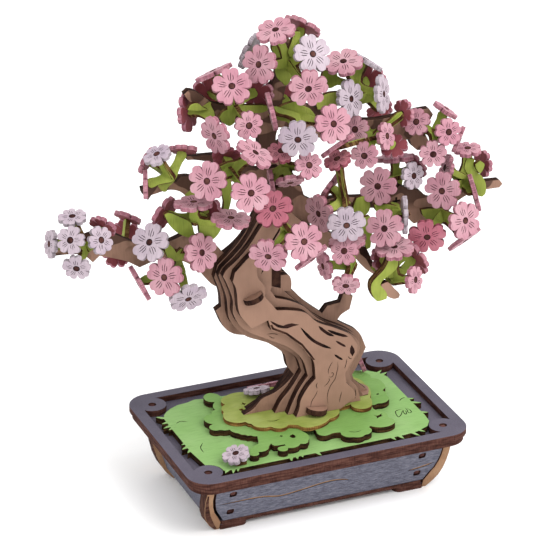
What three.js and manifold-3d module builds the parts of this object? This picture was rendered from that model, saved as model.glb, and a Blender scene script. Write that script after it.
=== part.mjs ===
// Cherry blossom bonsai: a plywood model built from laser-cut, printed plates.
// A boat-shaped tray holds a mossy ground board; a trunk of stacked plates stands on it,
// and its branch plates carry green sprigs that end in pink and white blossoms.
// Millimetres, +Z up. While it is built, x = y = 0 is the tray's centre and z = 0 the table.

import * as THREE from 'three';
import { mergeVertices } from 'three/addons/utils/BufferGeometryUtils.js';
import Module from 'manifold-3d';

const wasm = await Module();
wasm.setup();

// ---------------------------------------------------------------- driving dimensions
const GAP = 0.3;            // air between pieces that are cut to each other
const PLY = 3;              // tray and ground plates
const TRUNK_PLY = 3.6;      // one trunk layer
const SPRIG_PLY = 2;        // blossoms and sprig arms

const TRAY = { length: 129, width: 87, corner: 10, border: 5, setback: 1.2 };
const BOSS = { x: 54.5, y: 33.2, radius: 6.2, hole: 1.6 };
const LEVEL = { base: 2.4, panel: 4.5, floor: 26, rim: 29, moss: 32, mound: 35, trunk: 37 };
const BASE = { half_length: 47.3, half_width: 28.5, thickness: 1.8 };
const FOOT = { length: 12.8, width: 11, round: 3 };
const LONG_WALL = { at_table: 27, lean: 0.41, thickness: 2.9 };
const END_WALL = { at_table: 50.6, lean: 0.268, thickness: 2.9 };
const LEG = { depth: 6, proud: 0.5, panel_gap: 0.85 };
const PANEL_SHIFT = 0.55;   // each long panel sits against its right-hand leg

const BLOSSOM = { large: 8.25, small: 6, valley: 0.6, notch: 0.88, lobe_angle: 18 };
const ARM = { half_widths: [1.2, 2.2], start: 1, sunk: 0.5 };
const HUB = 5;              // the block in the middle of a spray, where its arms cross
const STALK = { half_widths: [2.2, 2.6], thickness: 2.4 };
const LEDGE_THICKNESS = 2.6;
const ARC_STEP = 1.9;         // about how long each straight piece of a bowed outline is
const SMALLEST_EDGE = 0.04;  // slivers shorter than this are closed up after a cut

// ---------------------------------------------------------------- finishes
function finish(color, roughness = 0.75) {
  return new THREE.MeshStandardMaterial({ color, roughness, metalness: 0 });
}

const PRINTED_GREY = finish(0x8a8494);
const RAW_PLY = finish(0xa57d5a);
const SCORCHED_PLY = finish(0x693c32);
const PRINTED_MOSS = finish(0x91c36e);
const PRINTED_MOUND = finish(0xa5b25a);
const PRINTED_BARK = finish(0xb6927e);
const PRINTED_PINK = finish(0xde96aa);
const PRINTED_WHITE = finish(0xe1d7e4);

// ---------------------------------------------------------------- shapes and plates
function outline(points) {
  return new THREE.Shape(points.map(([x, y]) => new THREE.Vector2(x, y)));
}

function roundedRectangle(length, width, radius) {
  const [x, y] = [length / 2, width / 2];
  const shape = new THREE.Shape();
  shape.moveTo(x, -y + radius);
  shape.lineTo(x, y - radius);
  shape.absarc(x - radius, y - radius, radius, 0, Math.PI / 2);
  shape.absarc(-x + radius, y - radius, radius, Math.PI / 2, Math.PI);
  shape.absarc(-x + radius, -y + radius, radius, Math.PI, 1.5 * Math.PI);
  shape.absarc(x - radius, -y + radius, radius, 1.5 * Math.PI, 2 * Math.PI);
  return shape;
}

// The points of an arc between two others, without the last. Its bow is how far it stands out to the right.
function bowed([x, y], [toX, toY], bow) {
  if (bow === 0) return [[x, y]];
  const chord = Math.hypot(toX - x, toY - y);
  const along = [(toX - x) / chord, (toY - y) / chord];
  const out = [along[1] * Math.sign(bow), -along[0] * Math.sign(bow)];
  const radius = (chord * chord / 4 + bow * bow) / (2 * Math.abs(bow));
  const half = 2 * Math.atan(2 * Math.abs(bow) / chord);
  const rise = Math.abs(bow) - radius;
  const centre = [(x + toX) / 2 + out[0] * rise, (y + toY) / 2 + out[1] * rise];
  const steps = Math.max(2, Math.round(2 * half * radius / ARC_STEP));
  return Array.from({ length: steps }, (_, i) => {
    const [c, s] = [Math.cos(half * (2 * i / steps - 1)), Math.sin(half * (2 * i / steps - 1))];
    return [centre[0] + radius * (out[0] * c + along[0] * s), centre[1] + radius * (out[1] * c + along[1] * s)];
  });
}

// A closed outline whose stretches bow outwards, as on cloud-shaped moss. Each point is [x, y, bow of the
// stretch after it], and they go anticlockwise.
function scalloped(points, holes = []) {
  const shape = outline(points.flatMap(([x, y, bow], i) => bowed([x, y], points[(i + 1) % points.length], bow)));
  shape.holes.push(...holes.map(outline));
  return shape;
}

// A four-pointed star, as cut through the moss here and there.
function starHole(x, y, reach) {
  return Array.from({ length: 8 }, (_, i) => {
    const r = reach * (i % 2 ? 0.4 : 1);
    return [x + r * Math.cos(i * Math.PI / 4), y + r * Math.sin(i * Math.PI / 4)];
  });
}

// A plate lying flat, from z = 0 up to its thickness.
function flatPlate(shape, thickness, curveSegments = 5) {
  return new THREE.ExtrudeGeometry(shape, { depth: thickness, bevelEnabled: false, curveSegments });
}

// A plate standing up: the shape's x and y are the plate's x and z, and it runs from y = 0 to +thickness.
function standingPlate(shape, thickness) {
  const geometry = flatPlate(shape, thickness);
  geometry.rotateX(Math.PI / 2);
  geometry.translate(0, thickness, 0);
  return geometry;
}

// Moves every point sideways in proportion to its height, so that an upright plate leans.
function lean(geometry, axis, amountPerHeight) {
  const position = geometry.getAttribute('position');
  for (let i = 0; i < position.count; i += 1) {
    const moved = position.getComponent(i, axis) + amountPerHeight * position.getZ(i);
    position.setComponent(i, axis, moved);
  }
  return geometry;
}

// ---------------------------------------------------------------- joining and cutting
function toSolid(geometry) {
  const bare = geometry.clone();
  bare.deleteAttribute('normal');
  bare.deleteAttribute('uv');
  const merged = mergeVertices(bare, 1e-4);
  const mesh = new wasm.Mesh({
    numProp: 3,
    vertProperties: new Float32Array(merged.getAttribute('position').array),
    triVerts: new Uint32Array(merged.index.array),
  });
  return new wasm.Manifold(mesh);
}

function toGeometry(solid) {
  const mesh = solid.getMesh();
  const geometry = new THREE.BufferGeometry();
  geometry.setAttribute('position', new THREE.BufferAttribute(mesh.vertProperties, 3));
  geometry.setIndex(new THREE.BufferAttribute(mesh.triVerts, 1));
  geometry.computeVertexNormals();
  return geometry;
}

function join(solids) {
  return solids.reduce((all, solid) => all.add(solid));
}

// Outlines joined flat into one plate, less some others.
function cutFromSheet(shapes, cuts, thickness) {
  const flat = (shape) => new wasm.CrossSection([shape.getPoints(8).map((p) => [p.x, p.y])], 'NonZero');
  const whole = shapes.map(flat).reduce((all, one) => all.add(one));
  const left = cuts.map(flat).reduce((rest, cut) => rest.subtract(cut), whole);
  return left.simplify(SMALLEST_EDGE).extrude(thickness);
}

function largestPiece(solid) {
  return solid.decompose().reduce((best, piece) => (piece.volume() > best.volume() ? piece : best));
}

// ---------------------------------------------------------------- the assembly
const bonsai = new THREE.Group();

function place(name, geometry, material, x = 0, y = 0, z = 0) {
  const mesh = new THREE.Mesh(geometry, material);
  mesh.name = name;
  mesh.position.set(x, y, z);
  bonsai.add(mesh);
  return mesh;
}

// ---------------------------------------------------------------- tray
const CORNERS = [[1, -1], [1, 1], [-1, 1], [-1, -1]];
const END_NAMES = { 1: 'right', '-1': 'left' };
const SIDE_NAMES = { 1: 'back', '-1': 'front' };

function rimGeometry() {
  const opening_length = TRAY.length - 2 * TRAY.border;
  const opening_width = TRAY.width - 2 * TRAY.border;
  let rim = toSolid(flatPlate(roundedRectangle(TRAY.length, TRAY.width, TRAY.corner), PLY, 4))
    .subtract(toSolid(flatPlate(roundedRectangle(opening_length, opening_width, 3), PLY, 1)));
  for (const [sx, sy] of CORNERS) {
    const [x, y] = [sx * BOSS.x, sy * BOSS.y];
    const disc = new THREE.Shape().absarc(x, y, BOSS.radius, 0, 2 * Math.PI);
    const reach_x = (opening_length / 2 + 1 - BOSS.x) * sx;
    const reach_y = (opening_width / 2 + 1 - BOSS.y) * sy;
    const web = [[x, y], [x + reach_x, y], [x + reach_x, y + reach_y], [x, y + reach_y]];
    rim = rim.add(toSolid(flatPlate(disc, PLY, 8))).add(toSolid(flatPlate(outline(web), PLY)));
    const hole = new THREE.Shape().absarc(x, y, BOSS.hole, 0, 2 * Math.PI);
    rim = rim.subtract(toSolid(flatPlate(hole, PLY, 3)));
  }
  return toGeometry(rim);
}

// Half of a long panel's outline: it is widest under the rim and curves in to the base.
const PANEL_END = [[52.4, 18.9], [51.7, 14.7], [50.6, 11.2], [48.8, 8.2], [46.9, LEVEL.panel]];

function longPanel() {
  const right = [[52.4, LEVEL.floor], ...PANEL_END];
  const left = right.map(([x, z]) => [-x, z]).reverse();
  const plate = standingPlate(outline([...right, ...left]), LONG_WALL.thickness);
  plate.translate(PANEL_SHIFT, 0, 0);
  return lean(plate, 1, -LONG_WALL.lean);
}

// A leg's outer edge bellies out like a hull and turns under to the table.
const LEG_HULL = [[49.6, 0], [52.4, 2.9], [54.4, 6.1], [55.8, 10.1], [56.5, 15], [56.7, 19.4], [56.5, LEVEL.floor]];

function leg() {
  const inner = PANEL_END.map(([x, z]) => [x + LEG.panel_gap, z]);
  const inside = [[52.4 + LEG.panel_gap, LEVEL.floor], ...inner, [47.6, LEVEL.panel - 0.2], [47.6, 0]];
  const block = standingPlate(outline([...LEG_HULL, ...inside]), LEG.depth);
  return lean(block, 1, -LONG_WALL.lean);
}

// An end panel fills the space between its two legs and follows their slope.
function endPanel() {
  const clear = LEG.depth - LONG_WALL.at_table - LEG.proud + GAP;
  const half = (z) => -clear + LONG_WALL.lean * z;
  const [low, high] = [LEVEL.panel, LEVEL.floor];
  const shape = outline([[-half(high), high], [-half(low), low], [half(low), low], [half(high), high]]);
  const plate = standingPlate(shape, END_WALL.thickness);
  plate.rotateZ(Math.PI / 2);
  plate.translate(END_WALL.at_table, 0, 0);
  return lean(plate, 0, END_WALL.lean);
}

function footGeometry() {
  const [x, y, r] = [FOOT.length, FOOT.width, FOOT.round];
  const shape = new THREE.Shape();
  shape.moveTo(0, 0);
  shape.lineTo(-x + r, 0);
  shape.absarc(-x + r, r, r, 1.5 * Math.PI, Math.PI, true);
  shape.absarc(-x + r, y - r, r, Math.PI, Math.PI / 2, true);
  shape.lineTo(0, y);
  return flatPlate(shape, LEVEL.base, 3);
}

function mirrored(geometry, sx, sy) {
  const copy = geometry.clone();
  copy.scale(sx, sy, 1);
  if (sx * sy > 0) return copy;
  const position = copy.getAttribute('position');
  for (let i = 0; i < position.count; i += 3) {
    const [b, c] = [1, 2].map((k) => [position.getX(i + k), position.getY(i + k), position.getZ(i + k)]);
    position.setXYZ(i + 1, ...c);
    position.setXYZ(i + 2, ...b);
  }
  return copy;
}

function buildTray() {
  place('tray_rim', rimGeometry(), PRINTED_GREY, 0, 0, LEVEL.rim);
  const inset = 2 * TRAY.setback;
  const floor = roundedRectangle(TRAY.length - inset, TRAY.width - inset, TRAY.corner - TRAY.setback);
  place('tray_floor', flatPlate(floor, PLY, 4), PRINTED_GREY, 0, 0, LEVEL.floor);
  const base = roundedRectangle(2 * BASE.half_length, 2 * BASE.half_width, 1.5);
  place('tray_base', flatPlate(base, BASE.thickness, 2), SCORCHED_PLY, 0, 0, LEVEL.base);
  for (const side of [-1, 1]) {
    const wall = mirrored(longPanel(), -side, -side);
    place(`${SIDE_NAMES[side]}_panel`, wall, PRINTED_GREY, 0, side * LONG_WALL.at_table, 0);
    place(`${END_NAMES[side]}_panel`, mirrored(endPanel(), side, 1), PRINTED_GREY);
  }
  for (const [sx, sy] of CORNERS) {
    const corner = `${SIDE_NAMES[sy]}_${END_NAMES[sx]}`;
    const leg_y = sy * (LONG_WALL.at_table + LEG.proud);
    place(`leg_${corner}`, mirrored(leg(), sx, -sy), RAW_PLY, 0, leg_y, 0);
    const foot_y = sy * (BASE.half_width - 0.1);
    place(`foot_${corner}`, mirrored(footGeometry(), sx, -sy), SCORCHED_PLY, sx * BASE.half_length, foot_y, 0);
  }
}

// ---------------------------------------------------------------- ground
const BOARD = [
  [-54.6, 18.6], [-53.4, 21.8], [-51.3, 24.3], [-48.7, 26.3], [-44.7, 28.3], [-40, 28.8], [-36, 30.3],
  [-32.7, 29.7], [-28, 28.8], [-20, 28.4], [12, 28.6], [38, 26.4], [40, 27.7], [44, 27.7], [46.7, 25.3],
  [49.3, 22.7], [51.4, 17.7], [51.2, -0.5], [51.2, -14], [51.3, -21.3], [50.7, -27.3], [48, -31.3], [42, -34],
  [36, -34.8], [28, -35], [-42, -35], [-47.3, -34.7], [-50, -32], [-53.3, -28], [-54, -21.3], [-54.8, -14],
  [-54.8, 8],
];

// Grass blades along the board's edge: each is a root on the board, a tip and a width.
const GRASS = [
  [[-53, 18.5], [-57.3, 21.5], 1.8], [[-53, 15.5], [-57.2, 14.5], 1.8], [[-53, 12.2], [-58, 10.5], 1.8],
  [[-53, 10.2], [-56.4, 8.2], 1.6], [[-53, -5.4], [-56.2, -6.3], 1.6], [[-53, -8], [-57.5, -10.3], 1.8],
  [[-53, -11], [-56.4, -14], 1.8], [[-44.5, -32.5], [-48.3, -36.6], 1.8], [[-42, -31], [-45.3, -38.3], 1.8],
  [[-40.4, -32], [-42.8, -37.4], 1.6], [[-17, -33], [-18.3, -37.6], 1.8], [[-14.4, -33], [-15.3, -37], 1.6],
  [[-12, -33], [-12.7, -36.4], 1.6], [[-6, -33], [-4.7, -38], 1.8], [[29, -33], [30.3, -37.6], 1.8],
  [[32.4, -33], [34, -38], 1.8], [[38.4, -32], [41.3, -38.3], 1.8], [[42, -32], [45, -35.6], 1.6],
  [[49.4, -8], [54.7, -10.7], 1.8], [[49.4, -5], [53.6, -5.6], 1.6], [[49.4, -18], [53.8, -20], 1.6],
  [[48, 19.4], [53, 21.8], 1.8], [[47, 21], [51.6, 24.6], 1.6], [[20, 27], [23, 31.2], 1.8],
  [[-24, 27], [-26, 31.4], 1.8],
];

function bladeOfGrass([root, tip, width]) {
  const [dx, dy] = [tip[0] - root[0], tip[1] - root[1]];
  const length = Math.hypot(dx, dy);
  const [nx, ny] = [(-dy / length) * width, (dx / length) * width];
  return outline([
    [root[0] - nx / 2, root[1] - ny / 2], [root[0] + dx * 0.7 - nx / 3, root[1] + dy * 0.7 - ny / 3],
    tip, [root[0] + dx * 0.5 + nx / 2, root[1] + dy * 0.5 + ny / 2], [root[0] + nx / 2, root[1] + ny / 2],
  ]);
}

const LEFT_PAD = [
  [-26.4, 22.5, 1.2], [-29.6, 28.1, 1.3], [-33.7, 24, 1.2], [-30.5, 19.5, 0.7], [-33.2, 13.5, 0],
  [-33, 12.6, 0.8], [-36, 9.9, 3.6], [-38.8, 0.8, 3.3], [-37.8, -5.4, 0.5], [-34.1, -6.6, 0.6],
  [-31.8, -11.3, 0.5], [-29.7, -13.5, 0.5], [-27.6, -15, 0.5], [-25.4, -16.6, 0], [-27.7, -23, 0.8],
  [-34.2, -29, 3.2], [-30.4, -29.8, 1.6], [-24.3, -27, 0], [-22.6, -25, 0], [-22, -27.2, 0], [-17.5, -27.9, 0],
  [-17.5, -29.1, 0], [-21, -29.4, 3.2], [-17.4, -31.4, 1.3], [-11.1, -30.1, 1.3], [-6.8, -28.6, 1.2],
  [-5.6, -21, 0], [-9, -12, 0], [-20, -2, 0], [-21, 12, 0],
];
const LEFT_PAD_HOLES = [
  [[-16.8, -20.6], [-16, -21.3], [-15.2, -20.6], [-16, -19.7]],
  [[-12.7, -22], [-12.2, -24], [-11, -24.2], [-10.3, -22.6], [-10.9, -20.8], [-11.8, -21.4]],
];
const RIGHT_PAD = [
  [2, -14, 0], [-0.6, -23, 1.9], [3.2, -27.3, -0.7], [8.7, -27.3, 1.8], [12.2, -33.3, 1.1], [17.5, -33.3, 2],
  [22, -27.6, 0], [22.9, -26.9, 2.6], [34, -28, 1], [33.4, -22.6, 0.6], [33.6, -17, 0], [30.8, -13.8, 0],
  [31.2, -9.7, 0.3], [34.4, -9.2, 0.8], [39.6, -8.4, 0.8], [41.2, -4, 0.6], [41.6, 1.4, 1.2], [44.6, 8, 1.2],
  [41.6, 14, 1], [41.2, 20, 1.2], [36, 23.4, 0.8], [30, 22, 0], [26, 14, 0], [22, -2, 0], [12, -12, 0],
];
const RIGHT_PAD_HOLES = [
  [
    [28.1, -18.8], [28.9, -20.2], [28.2, -21.8], [30.2, -20.9], [31.8, -20.6], [31.3, -19.9], [32.2, -18.3],
    [29.9, -19.3],
  ],
  [[37.4, -1.8], [38.5, -1.5], [38.6, -0.6], [37.5, -0.8]],
];
const MOUND = [
  [33.4, 14, 1], [28.4, 19, 1], [21, 18.6, 0.9], [14, 20.6, 0.9], [5, 20, 0.8], [-2, 18.6, 0.9],
  [-9.5, 19.4, 1.2], [-17, 19.8, 1], [-25.5, 19.3, 1.9], [-28.8, 12, 1.2], [-31.8, 6, 0.6], [-33.8, -1, 1.7],
  [-26.6, -6.2, 0.4], [-25, -8.8, 2], [-18.2, -14.4, 2.4], [-10.6, -15.7, -0.2], [-7, -17.6, 1.6],
  [-0.8, -21.4, 1], [8, -17.5, 2.1], [15.4, -9.4, 0.4], [21.6, -8.8, 3.4], [29, -13.8, 0.8], [32, -6, 0.4],
  [35, 0, 0.5], [35.2, 6, 0.8],
];
const MOUND_HOLES = [starHole(-21, 9.5, 1.5), [[-25, 4.4], [-24, 3.8], [-23, 4.6], [-23.4, 5.8], [-24.6, 5.6]]];

function buildGround() {
  const clearings = CORNERS.map(([sx, sy]) => (
    new THREE.Shape().absarc(sx * BOSS.x, sy * BOSS.y, BOSS.radius + GAP, 0, 2 * Math.PI)));
  const board = cutFromSheet([outline(BOARD), ...GRASS.map(bladeOfGrass)], clearings, PLY);
  place('moss_board', toGeometry(largestPiece(board)), PRINTED_MOSS, 0, 0, LEVEL.rim);
  const pads = { right: [RIGHT_PAD, RIGHT_PAD_HOLES], left: [LEFT_PAD, LEFT_PAD_HOLES] };
  for (const [side, [points, holes]] of Object.entries(pads)) {
    place(`moss_pad_${side}`, flatPlate(scalloped(points, holes), PLY), PRINTED_MOSS, 0, 0, LEVEL.moss);
  }
  const thickness = LEVEL.trunk - LEVEL.mound;
  place('moss_mound', flatPlate(scalloped(MOUND, MOUND_HOLES), thickness), PRINTED_MOUND, 0, 0, LEVEL.mound);
}

// ---------------------------------------------------------------- trunk and branch plates
// Seven layers from front to back; each is an outline of [x, z] points.
const LAYERS = {
  trunk_front: { front: -11.2, points: [
    [-5, 37], [-3.5, 41], [-3, 44.5], [0.5, 50.5], [4, 54], [3, 62.5], [0.5, 66], [-3, 71], [-10, 77.5],
    [-16.5, 81], [-18, 86], [-25.5, 83.5], [-31, 91.5], [-32.5, 103.5], [-34, 107], [-33, 111], [-26, 117.5],
    [-22.5, 119.5], [-21, 116.5], [-23, 111], [-22.5, 107], [-19.5, 102], [-19.5, 97.5], [-14, 90], [-8.5, 89],
    [-1, 86.5], [4.5, 81], [13, 76.5], [20, 72], [23.5, 66.5], [23, 62], [20, 57.5], [18, 53.5], [18.5, 49],
    [21.5, 45.5], [23, 41.5], [16, 37],
  ] },
  trunk_second: { front: -7.6, points: [
    [-7.5, 37], [-4.5, 44], [-1.5, 49.5], [2, 54], [-0.5, 62], [-6.5, 69], [-16.5, 75], [-25, 80], [-29, 83.5],
    [-32.5, 90.5], [-32.5, 96.5], [-35.5, 105.5], [-37, 108.5], [-35.5, 111], [-31, 114.5], [-25.5, 120],
    [-20.5, 127], [-16.5, 132.5], [-13, 136.5], [-8.5, 136], [-5.5, 132], [-1, 127.5], [4.5, 123.5], [11, 120.5],
    [18.5, 115.5], [25, 111.5], [28.5, 110], [31.5, 103], [35.5, 98], [33.5, 96], [28.5, 100], [24, 105.5],
    [16.5, 110], [8, 114.5], [0.5, 118.5], [-4, 119.5], [-7.5, 116.5], [-11, 107.5], [-15.5, 98], [-13, 94],
    [-6.5, 91.5], [0, 87.5], [5.5, 81.5], [13, 76], [20.5, 71.5], [25, 67], [26.5, 62.5], [24, 58.5], [21.5, 53],
    [22, 48], [25, 44], [27, 37],
  ] },
  trunk_third: { front: -4, points: [
    [-12, 37], [-9, 42.5], [-4.5, 47.5], [0.5, 55], [-2, 62], [-8, 67.5], [-18, 73], [-25, 76.5], [-30, 81.5],
    [-33, 87], [-34, 96.5], [-37.5, 107.5], [-36, 110.5], [-31.5, 114.5], [-26.5, 119.5], [-22, 126], [-18, 133],
    [-15, 138.5], [-12.5, 142.5], [-7, 143.5], [0, 142], [1.5, 137], [7.5, 133], [14.5, 134], [26, 132.5],
    [35.5, 131.5], [42, 132], [45.5, 134.5], [49.5, 132.5], [55, 130.5], [58.5, 127], [63, 125], [67.5, 126],
    [73, 129.5], [79, 130], [86.5, 129.5], [93, 129], [94.5, 127], [93, 125.5], [81, 125.5], [75, 123.5],
    [70.5, 120.5], [67.5, 116], [63, 114.5], [57.5, 116], [52.5, 115.5], [48.5, 120], [42, 123.5], [34.5, 126],
    [26, 127], [18, 128], [11.5, 127.5], [2.5, 123], [-2.5, 119.5], [-6, 113.5], [-9.5, 102], [-8, 95], [-2, 89],
    [3.5, 83.5], [11.5, 77], [21, 71.5], [26.5, 66.5], [28.5, 61], [26, 55.5], [24, 49.5], [24.5, 45], [28, 40.5],
    [30, 37],
  ] },
  trunk_middle: { front: -0.4, points: [
    [-25, 37], [-20.5, 39], [-16.5, 43], [-10.5, 45], [-5, 48.5], [-1.5, 52], [-4.5, 56.5], [-6, 62.5],
    [-11, 67.5], [-17.5, 72], [-23.5, 75], [-29.5, 77], [-33.5, 80.5], [-37.5, 89.5], [-35, 91], [-35.5, 97.5],
    [-38, 105], [-36.5, 110.5], [-32, 114.5], [-27, 119.5], [-23, 125], [-20, 130.5], [-17.5, 136], [-16.5, 142.5],
    [-17.5, 156.5], [-18, 172], [-24.5, 174], [-32.5, 174], [-37.5, 177], [-45.5, 184], [-49, 187.5],
    [-50.5, 190], [-48.5, 191.5], [-45.5, 190.5], [-37.5, 184], [-32, 182.5], [-27, 180.5], [-21.5, 178],
    [-16, 177.5], [-14.5, 182], [-14.5, 186.5], [-11.5, 188.5], [-9.5, 193.5], [-7, 199.5], [-6.5, 206.5],
    [-4.5, 208], [-3, 206], [-3, 199.5], [-5.5, 187.5], [-7.5, 178], [-9, 173], [-10, 163], [-9.5, 155],
    [-6.5, 148], [-1, 142.5], [1.5, 139.5], [2, 131], [-1.5, 119.5], [-5, 113.5], [-7, 106.5], [-7.5, 94.5],
    [-2.5, 92.5], [3.5, 86], [11.5, 79], [14, 82], [20, 82.5], [21.5, 86.5], [26, 84.5], [24.5, 78.5], [20.5, 76.5],
    [18.5, 74], [23, 71], [29, 66.5], [32.5, 58.5], [31.5, 56.5], [28, 49.5], [26, 46.5], [27, 44], [30, 41],
    [34, 37],
  ] },
  trunk_fifth: { front: 3.2, points: [
    [-22, 37], [-17, 39.5], [-6.5, 43], [-1, 46.5], [1.5, 52], [-1.5, 58.5], [-6.5, 65], [-15, 71], [-25, 76.5],
    [-30.5, 81], [-32.5, 86.5], [-33, 97], [-38, 100.5], [-43, 107], [-46.5, 110.5], [-51, 113.5], [-56.5, 115.5],
    [-62, 116], [-70, 114], [-76, 118], [-82, 120.5], [-87.5, 122.5], [-90.5, 120], [-94.5, 124], [-100.5, 125.5],
    [-107, 126], [-108, 128], [-106.5, 129], [-100.5, 129.5], [-94, 132], [-89, 133], [-83.5, 132.5],
    [-72.5, 126], [-65.5, 123], [-56.5, 123.5], [-48.5, 126], [-43, 123], [-37, 119.5], [-32, 113.5],
    [-27.5, 116.5], [-22, 122], [-17.5, 129.5], [-14, 137.5], [-13, 146.5], [-15, 158], [-14.5, 171.5],
    [-12, 178.5], [-6.5, 180], [-1, 178.5], [7, 174.5], [16, 170.5], [25.5, 166], [35.5, 163.5], [46, 163.5],
    [57.5, 164.5], [62, 164.5], [64, 161.5], [60, 154], [62, 150], [61, 146], [57, 146], [54.5, 148.5],
    [53, 152], [46.5, 150.5], [38.5, 153.5], [29, 154.5], [18.5, 157], [7, 161], [-2, 166], [-7.5, 167],
    [-9, 160.5], [-8.5, 152.5], [-5.5, 145.5], [-2, 137.5], [0.5, 130.5], [-3, 118.5], [-8.5, 105.5], [-8, 97],
    [-4.5, 91], [1, 86], [6.5, 81], [14.5, 75], [21.5, 70.5], [28.5, 65.5], [31, 58], [29, 52.5], [26.5, 46.5],
    [28.5, 41], [32.5, 37],
  ] },
  trunk_sixth: { front: 6.8, points: [
    [-9, 37], [-5, 44], [2, 51], [1, 58], [-4, 65], [-12, 71], [-21, 76], [-26, 81], [-27, 90], [-28, 97],
    [-30, 103], [-26, 112], [-20, 119], [-15, 127], [-10, 137], [-7, 148], [-6, 158], [-3, 160], [-2, 150],
    [1, 140], [3, 130], [2, 124], [-1, 117], [-4, 110], [-6, 102], [-5, 92], [1, 84], [8, 78.5], [15, 73],
    [22, 68.5], [27, 64], [30, 58], [28, 52], [26.5, 47], [28.5, 42], [31.5, 37],
  ] },
  trunk_back: { front: 10.4, points: [
    [-4, 37], [-1, 45], [4, 52], [2, 60], [-4, 67], [-13, 73], [-21, 79], [-23, 90], [-24, 98], [-22, 106],
    [-16, 113], [-12, 117], [-9, 110], [-8, 101], [-6, 90], [1, 82], [9, 76], [17, 70], [23, 65.5], [27, 59],
    [26, 53], [24, 47], [26, 41], [28, 37],
  ] },
  // The left twig stands against the middle layer's stem, in line with the third layer.
  twig_left: { front: -4.3, points: [
    [-70.5, 150.5], [-71, 153], [-56, 153.5], [-54, 155.5], [-50, 155], [-47, 153.5], [-41, 154.5], [-38, 156.5],
    [-37, 158], [-40, 159.5], [-47.5, 162], [-51, 162.5], [-51.5, 164.5], [-47, 163.5], [-36.5, 162.5],
    [-32, 161], [-29.5, 158.5], [-23.5, 155], [-18, 153], [-10, 152.5], [-10, 146.5], [-18, 145.5],
    [-28, 149], [-31.5, 149.5], [-34, 147], [-39, 144.5], [-45.5, 144], [-50, 145], [-54.5, 149],
    [-59, 150.5], [-67, 149.5], [-68.5, 147.5], [-69.5, 149],
  ] },
};

function buildTrunk() {
  for (const [name, { front, points }] of Object.entries(LAYERS)) {
    place(name, standingPlate(outline(points), TRUNK_PLY), PRINTED_BARK, 0, front, 0);
  }
}

// Two half-round ledges stick out of the front layer: a burr under the bend and a root knob.
const LEDGES = {
  ledge_upper: { x: -25.4, z: 99.4, radius: 4.4, out: 3.6, tilt: 0.3 },
  ledge_lower: { x: 4.4, z: 40.6, radius: 4.8, out: 4.6, tilt: -0.14 },
};

function buildLedges() {
  const face = LAYERS.trunk_front.front;
  for (const [name, { x, z, radius, out, tilt }] of Object.entries(LEDGES)) {
    const shape = new THREE.Shape();
    shape.moveTo(radius, 0);
    shape.lineTo(-radius, 0);
    shape.absellipse(0, 0, radius, out, Math.PI, 2 * Math.PI);
    const ledge = flatPlate(shape, LEDGE_THICKNESS, 6);
    ledge.translate(0, 0, -LEDGE_THICKNESS);
    ledge.rotateY(-tilt);
    place(name, ledge, PRINTED_BARK, x, face - GAP, z);
  }
}

// ---------------------------------------------------------------- blossoms
// Large blossoms have a notch at the end of each petal.
function blossomShape(radius, petals = 5) {
  const points = [];
  const notch = radius > BLOSSOM.small ? [[0, BLOSSOM.notch]] : [];
  for (let petal = 0; petal < petals; petal += 1) {
    const middle = (petal * 360) / petals + 90;
    const steps = [
      [-180 / petals, BLOSSOM.valley], [-BLOSSOM.lobe_angle, 1], ...notch, [BLOSSOM.lobe_angle, 1],
    ];
    for (const [turn, reach] of steps) {
      const angle = THREE.MathUtils.degToRad(middle + turn);
      points.push([radius * reach * Math.cos(angle), radius * reach * Math.sin(angle)]);
    }
  }
  return outline(points);
}

// A unit vector from an azimuth about +Z and an elevation above the table, in degrees.
function facing(azimuth, elevation) {
  const [a, e] = [azimuth, elevation].map(THREE.MathUtils.degToRad);
  return new THREE.Vector3(Math.cos(a) * Math.cos(e), Math.sin(a) * Math.cos(e), Math.sin(e));
}

// A frame whose third axis is the normal, and whose second axis points as far up as it can.
function frameFacing(normal, centre) {
  const up = Math.abs(normal.z) > 0.95 ? new THREE.Vector3(0, 1, 0) : new THREE.Vector3(0, 0, 1);
  const x = new THREE.Vector3().crossVectors(up, normal).normalize();
  const y = new THREE.Vector3().crossVectors(normal, x);
  return new THREE.Matrix4().makeBasis(x, y, normal).setPosition(centre);
}

function blossom(radius, normal, centre) {
  const plate = flatPlate(blossomShape(radius), SPRIG_PLY);
  plate.translate(0, 0, -SPRIG_PLY / 2);
  return plate.applyMatrix4(frameFacing(normal, centre));
}

// A flat arm from one point to another, with its broad side turned to the front.
function arm(from, to, halfWidths, thickness) {
  const along = new THREE.Vector3().subVectors(to, from);
  const length = along.length();
  along.normalize();
  const front = new THREE.Vector3(-0.35, -0.85, 0.4);
  const broad = front.addScaledVector(along, -front.dot(along)).normalize();
  const across = new THREE.Vector3().crossVectors(broad, along);
  const stations = halfWidths.map((half, i) => [(length * i) / (halfWidths.length - 1), half]);
  const edge = stations.map(([x, half]) => [x, half]).reverse();
  const plate = flatPlate(outline([...stations.map(([x, half]) => [x, -half]), ...edge]), thickness);
  plate.translate(0, 0, -thickness / 2);
  return plate.applyMatrix4(new THREE.Matrix4().makeBasis(along, across, broad).setPosition(from));
}

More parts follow.
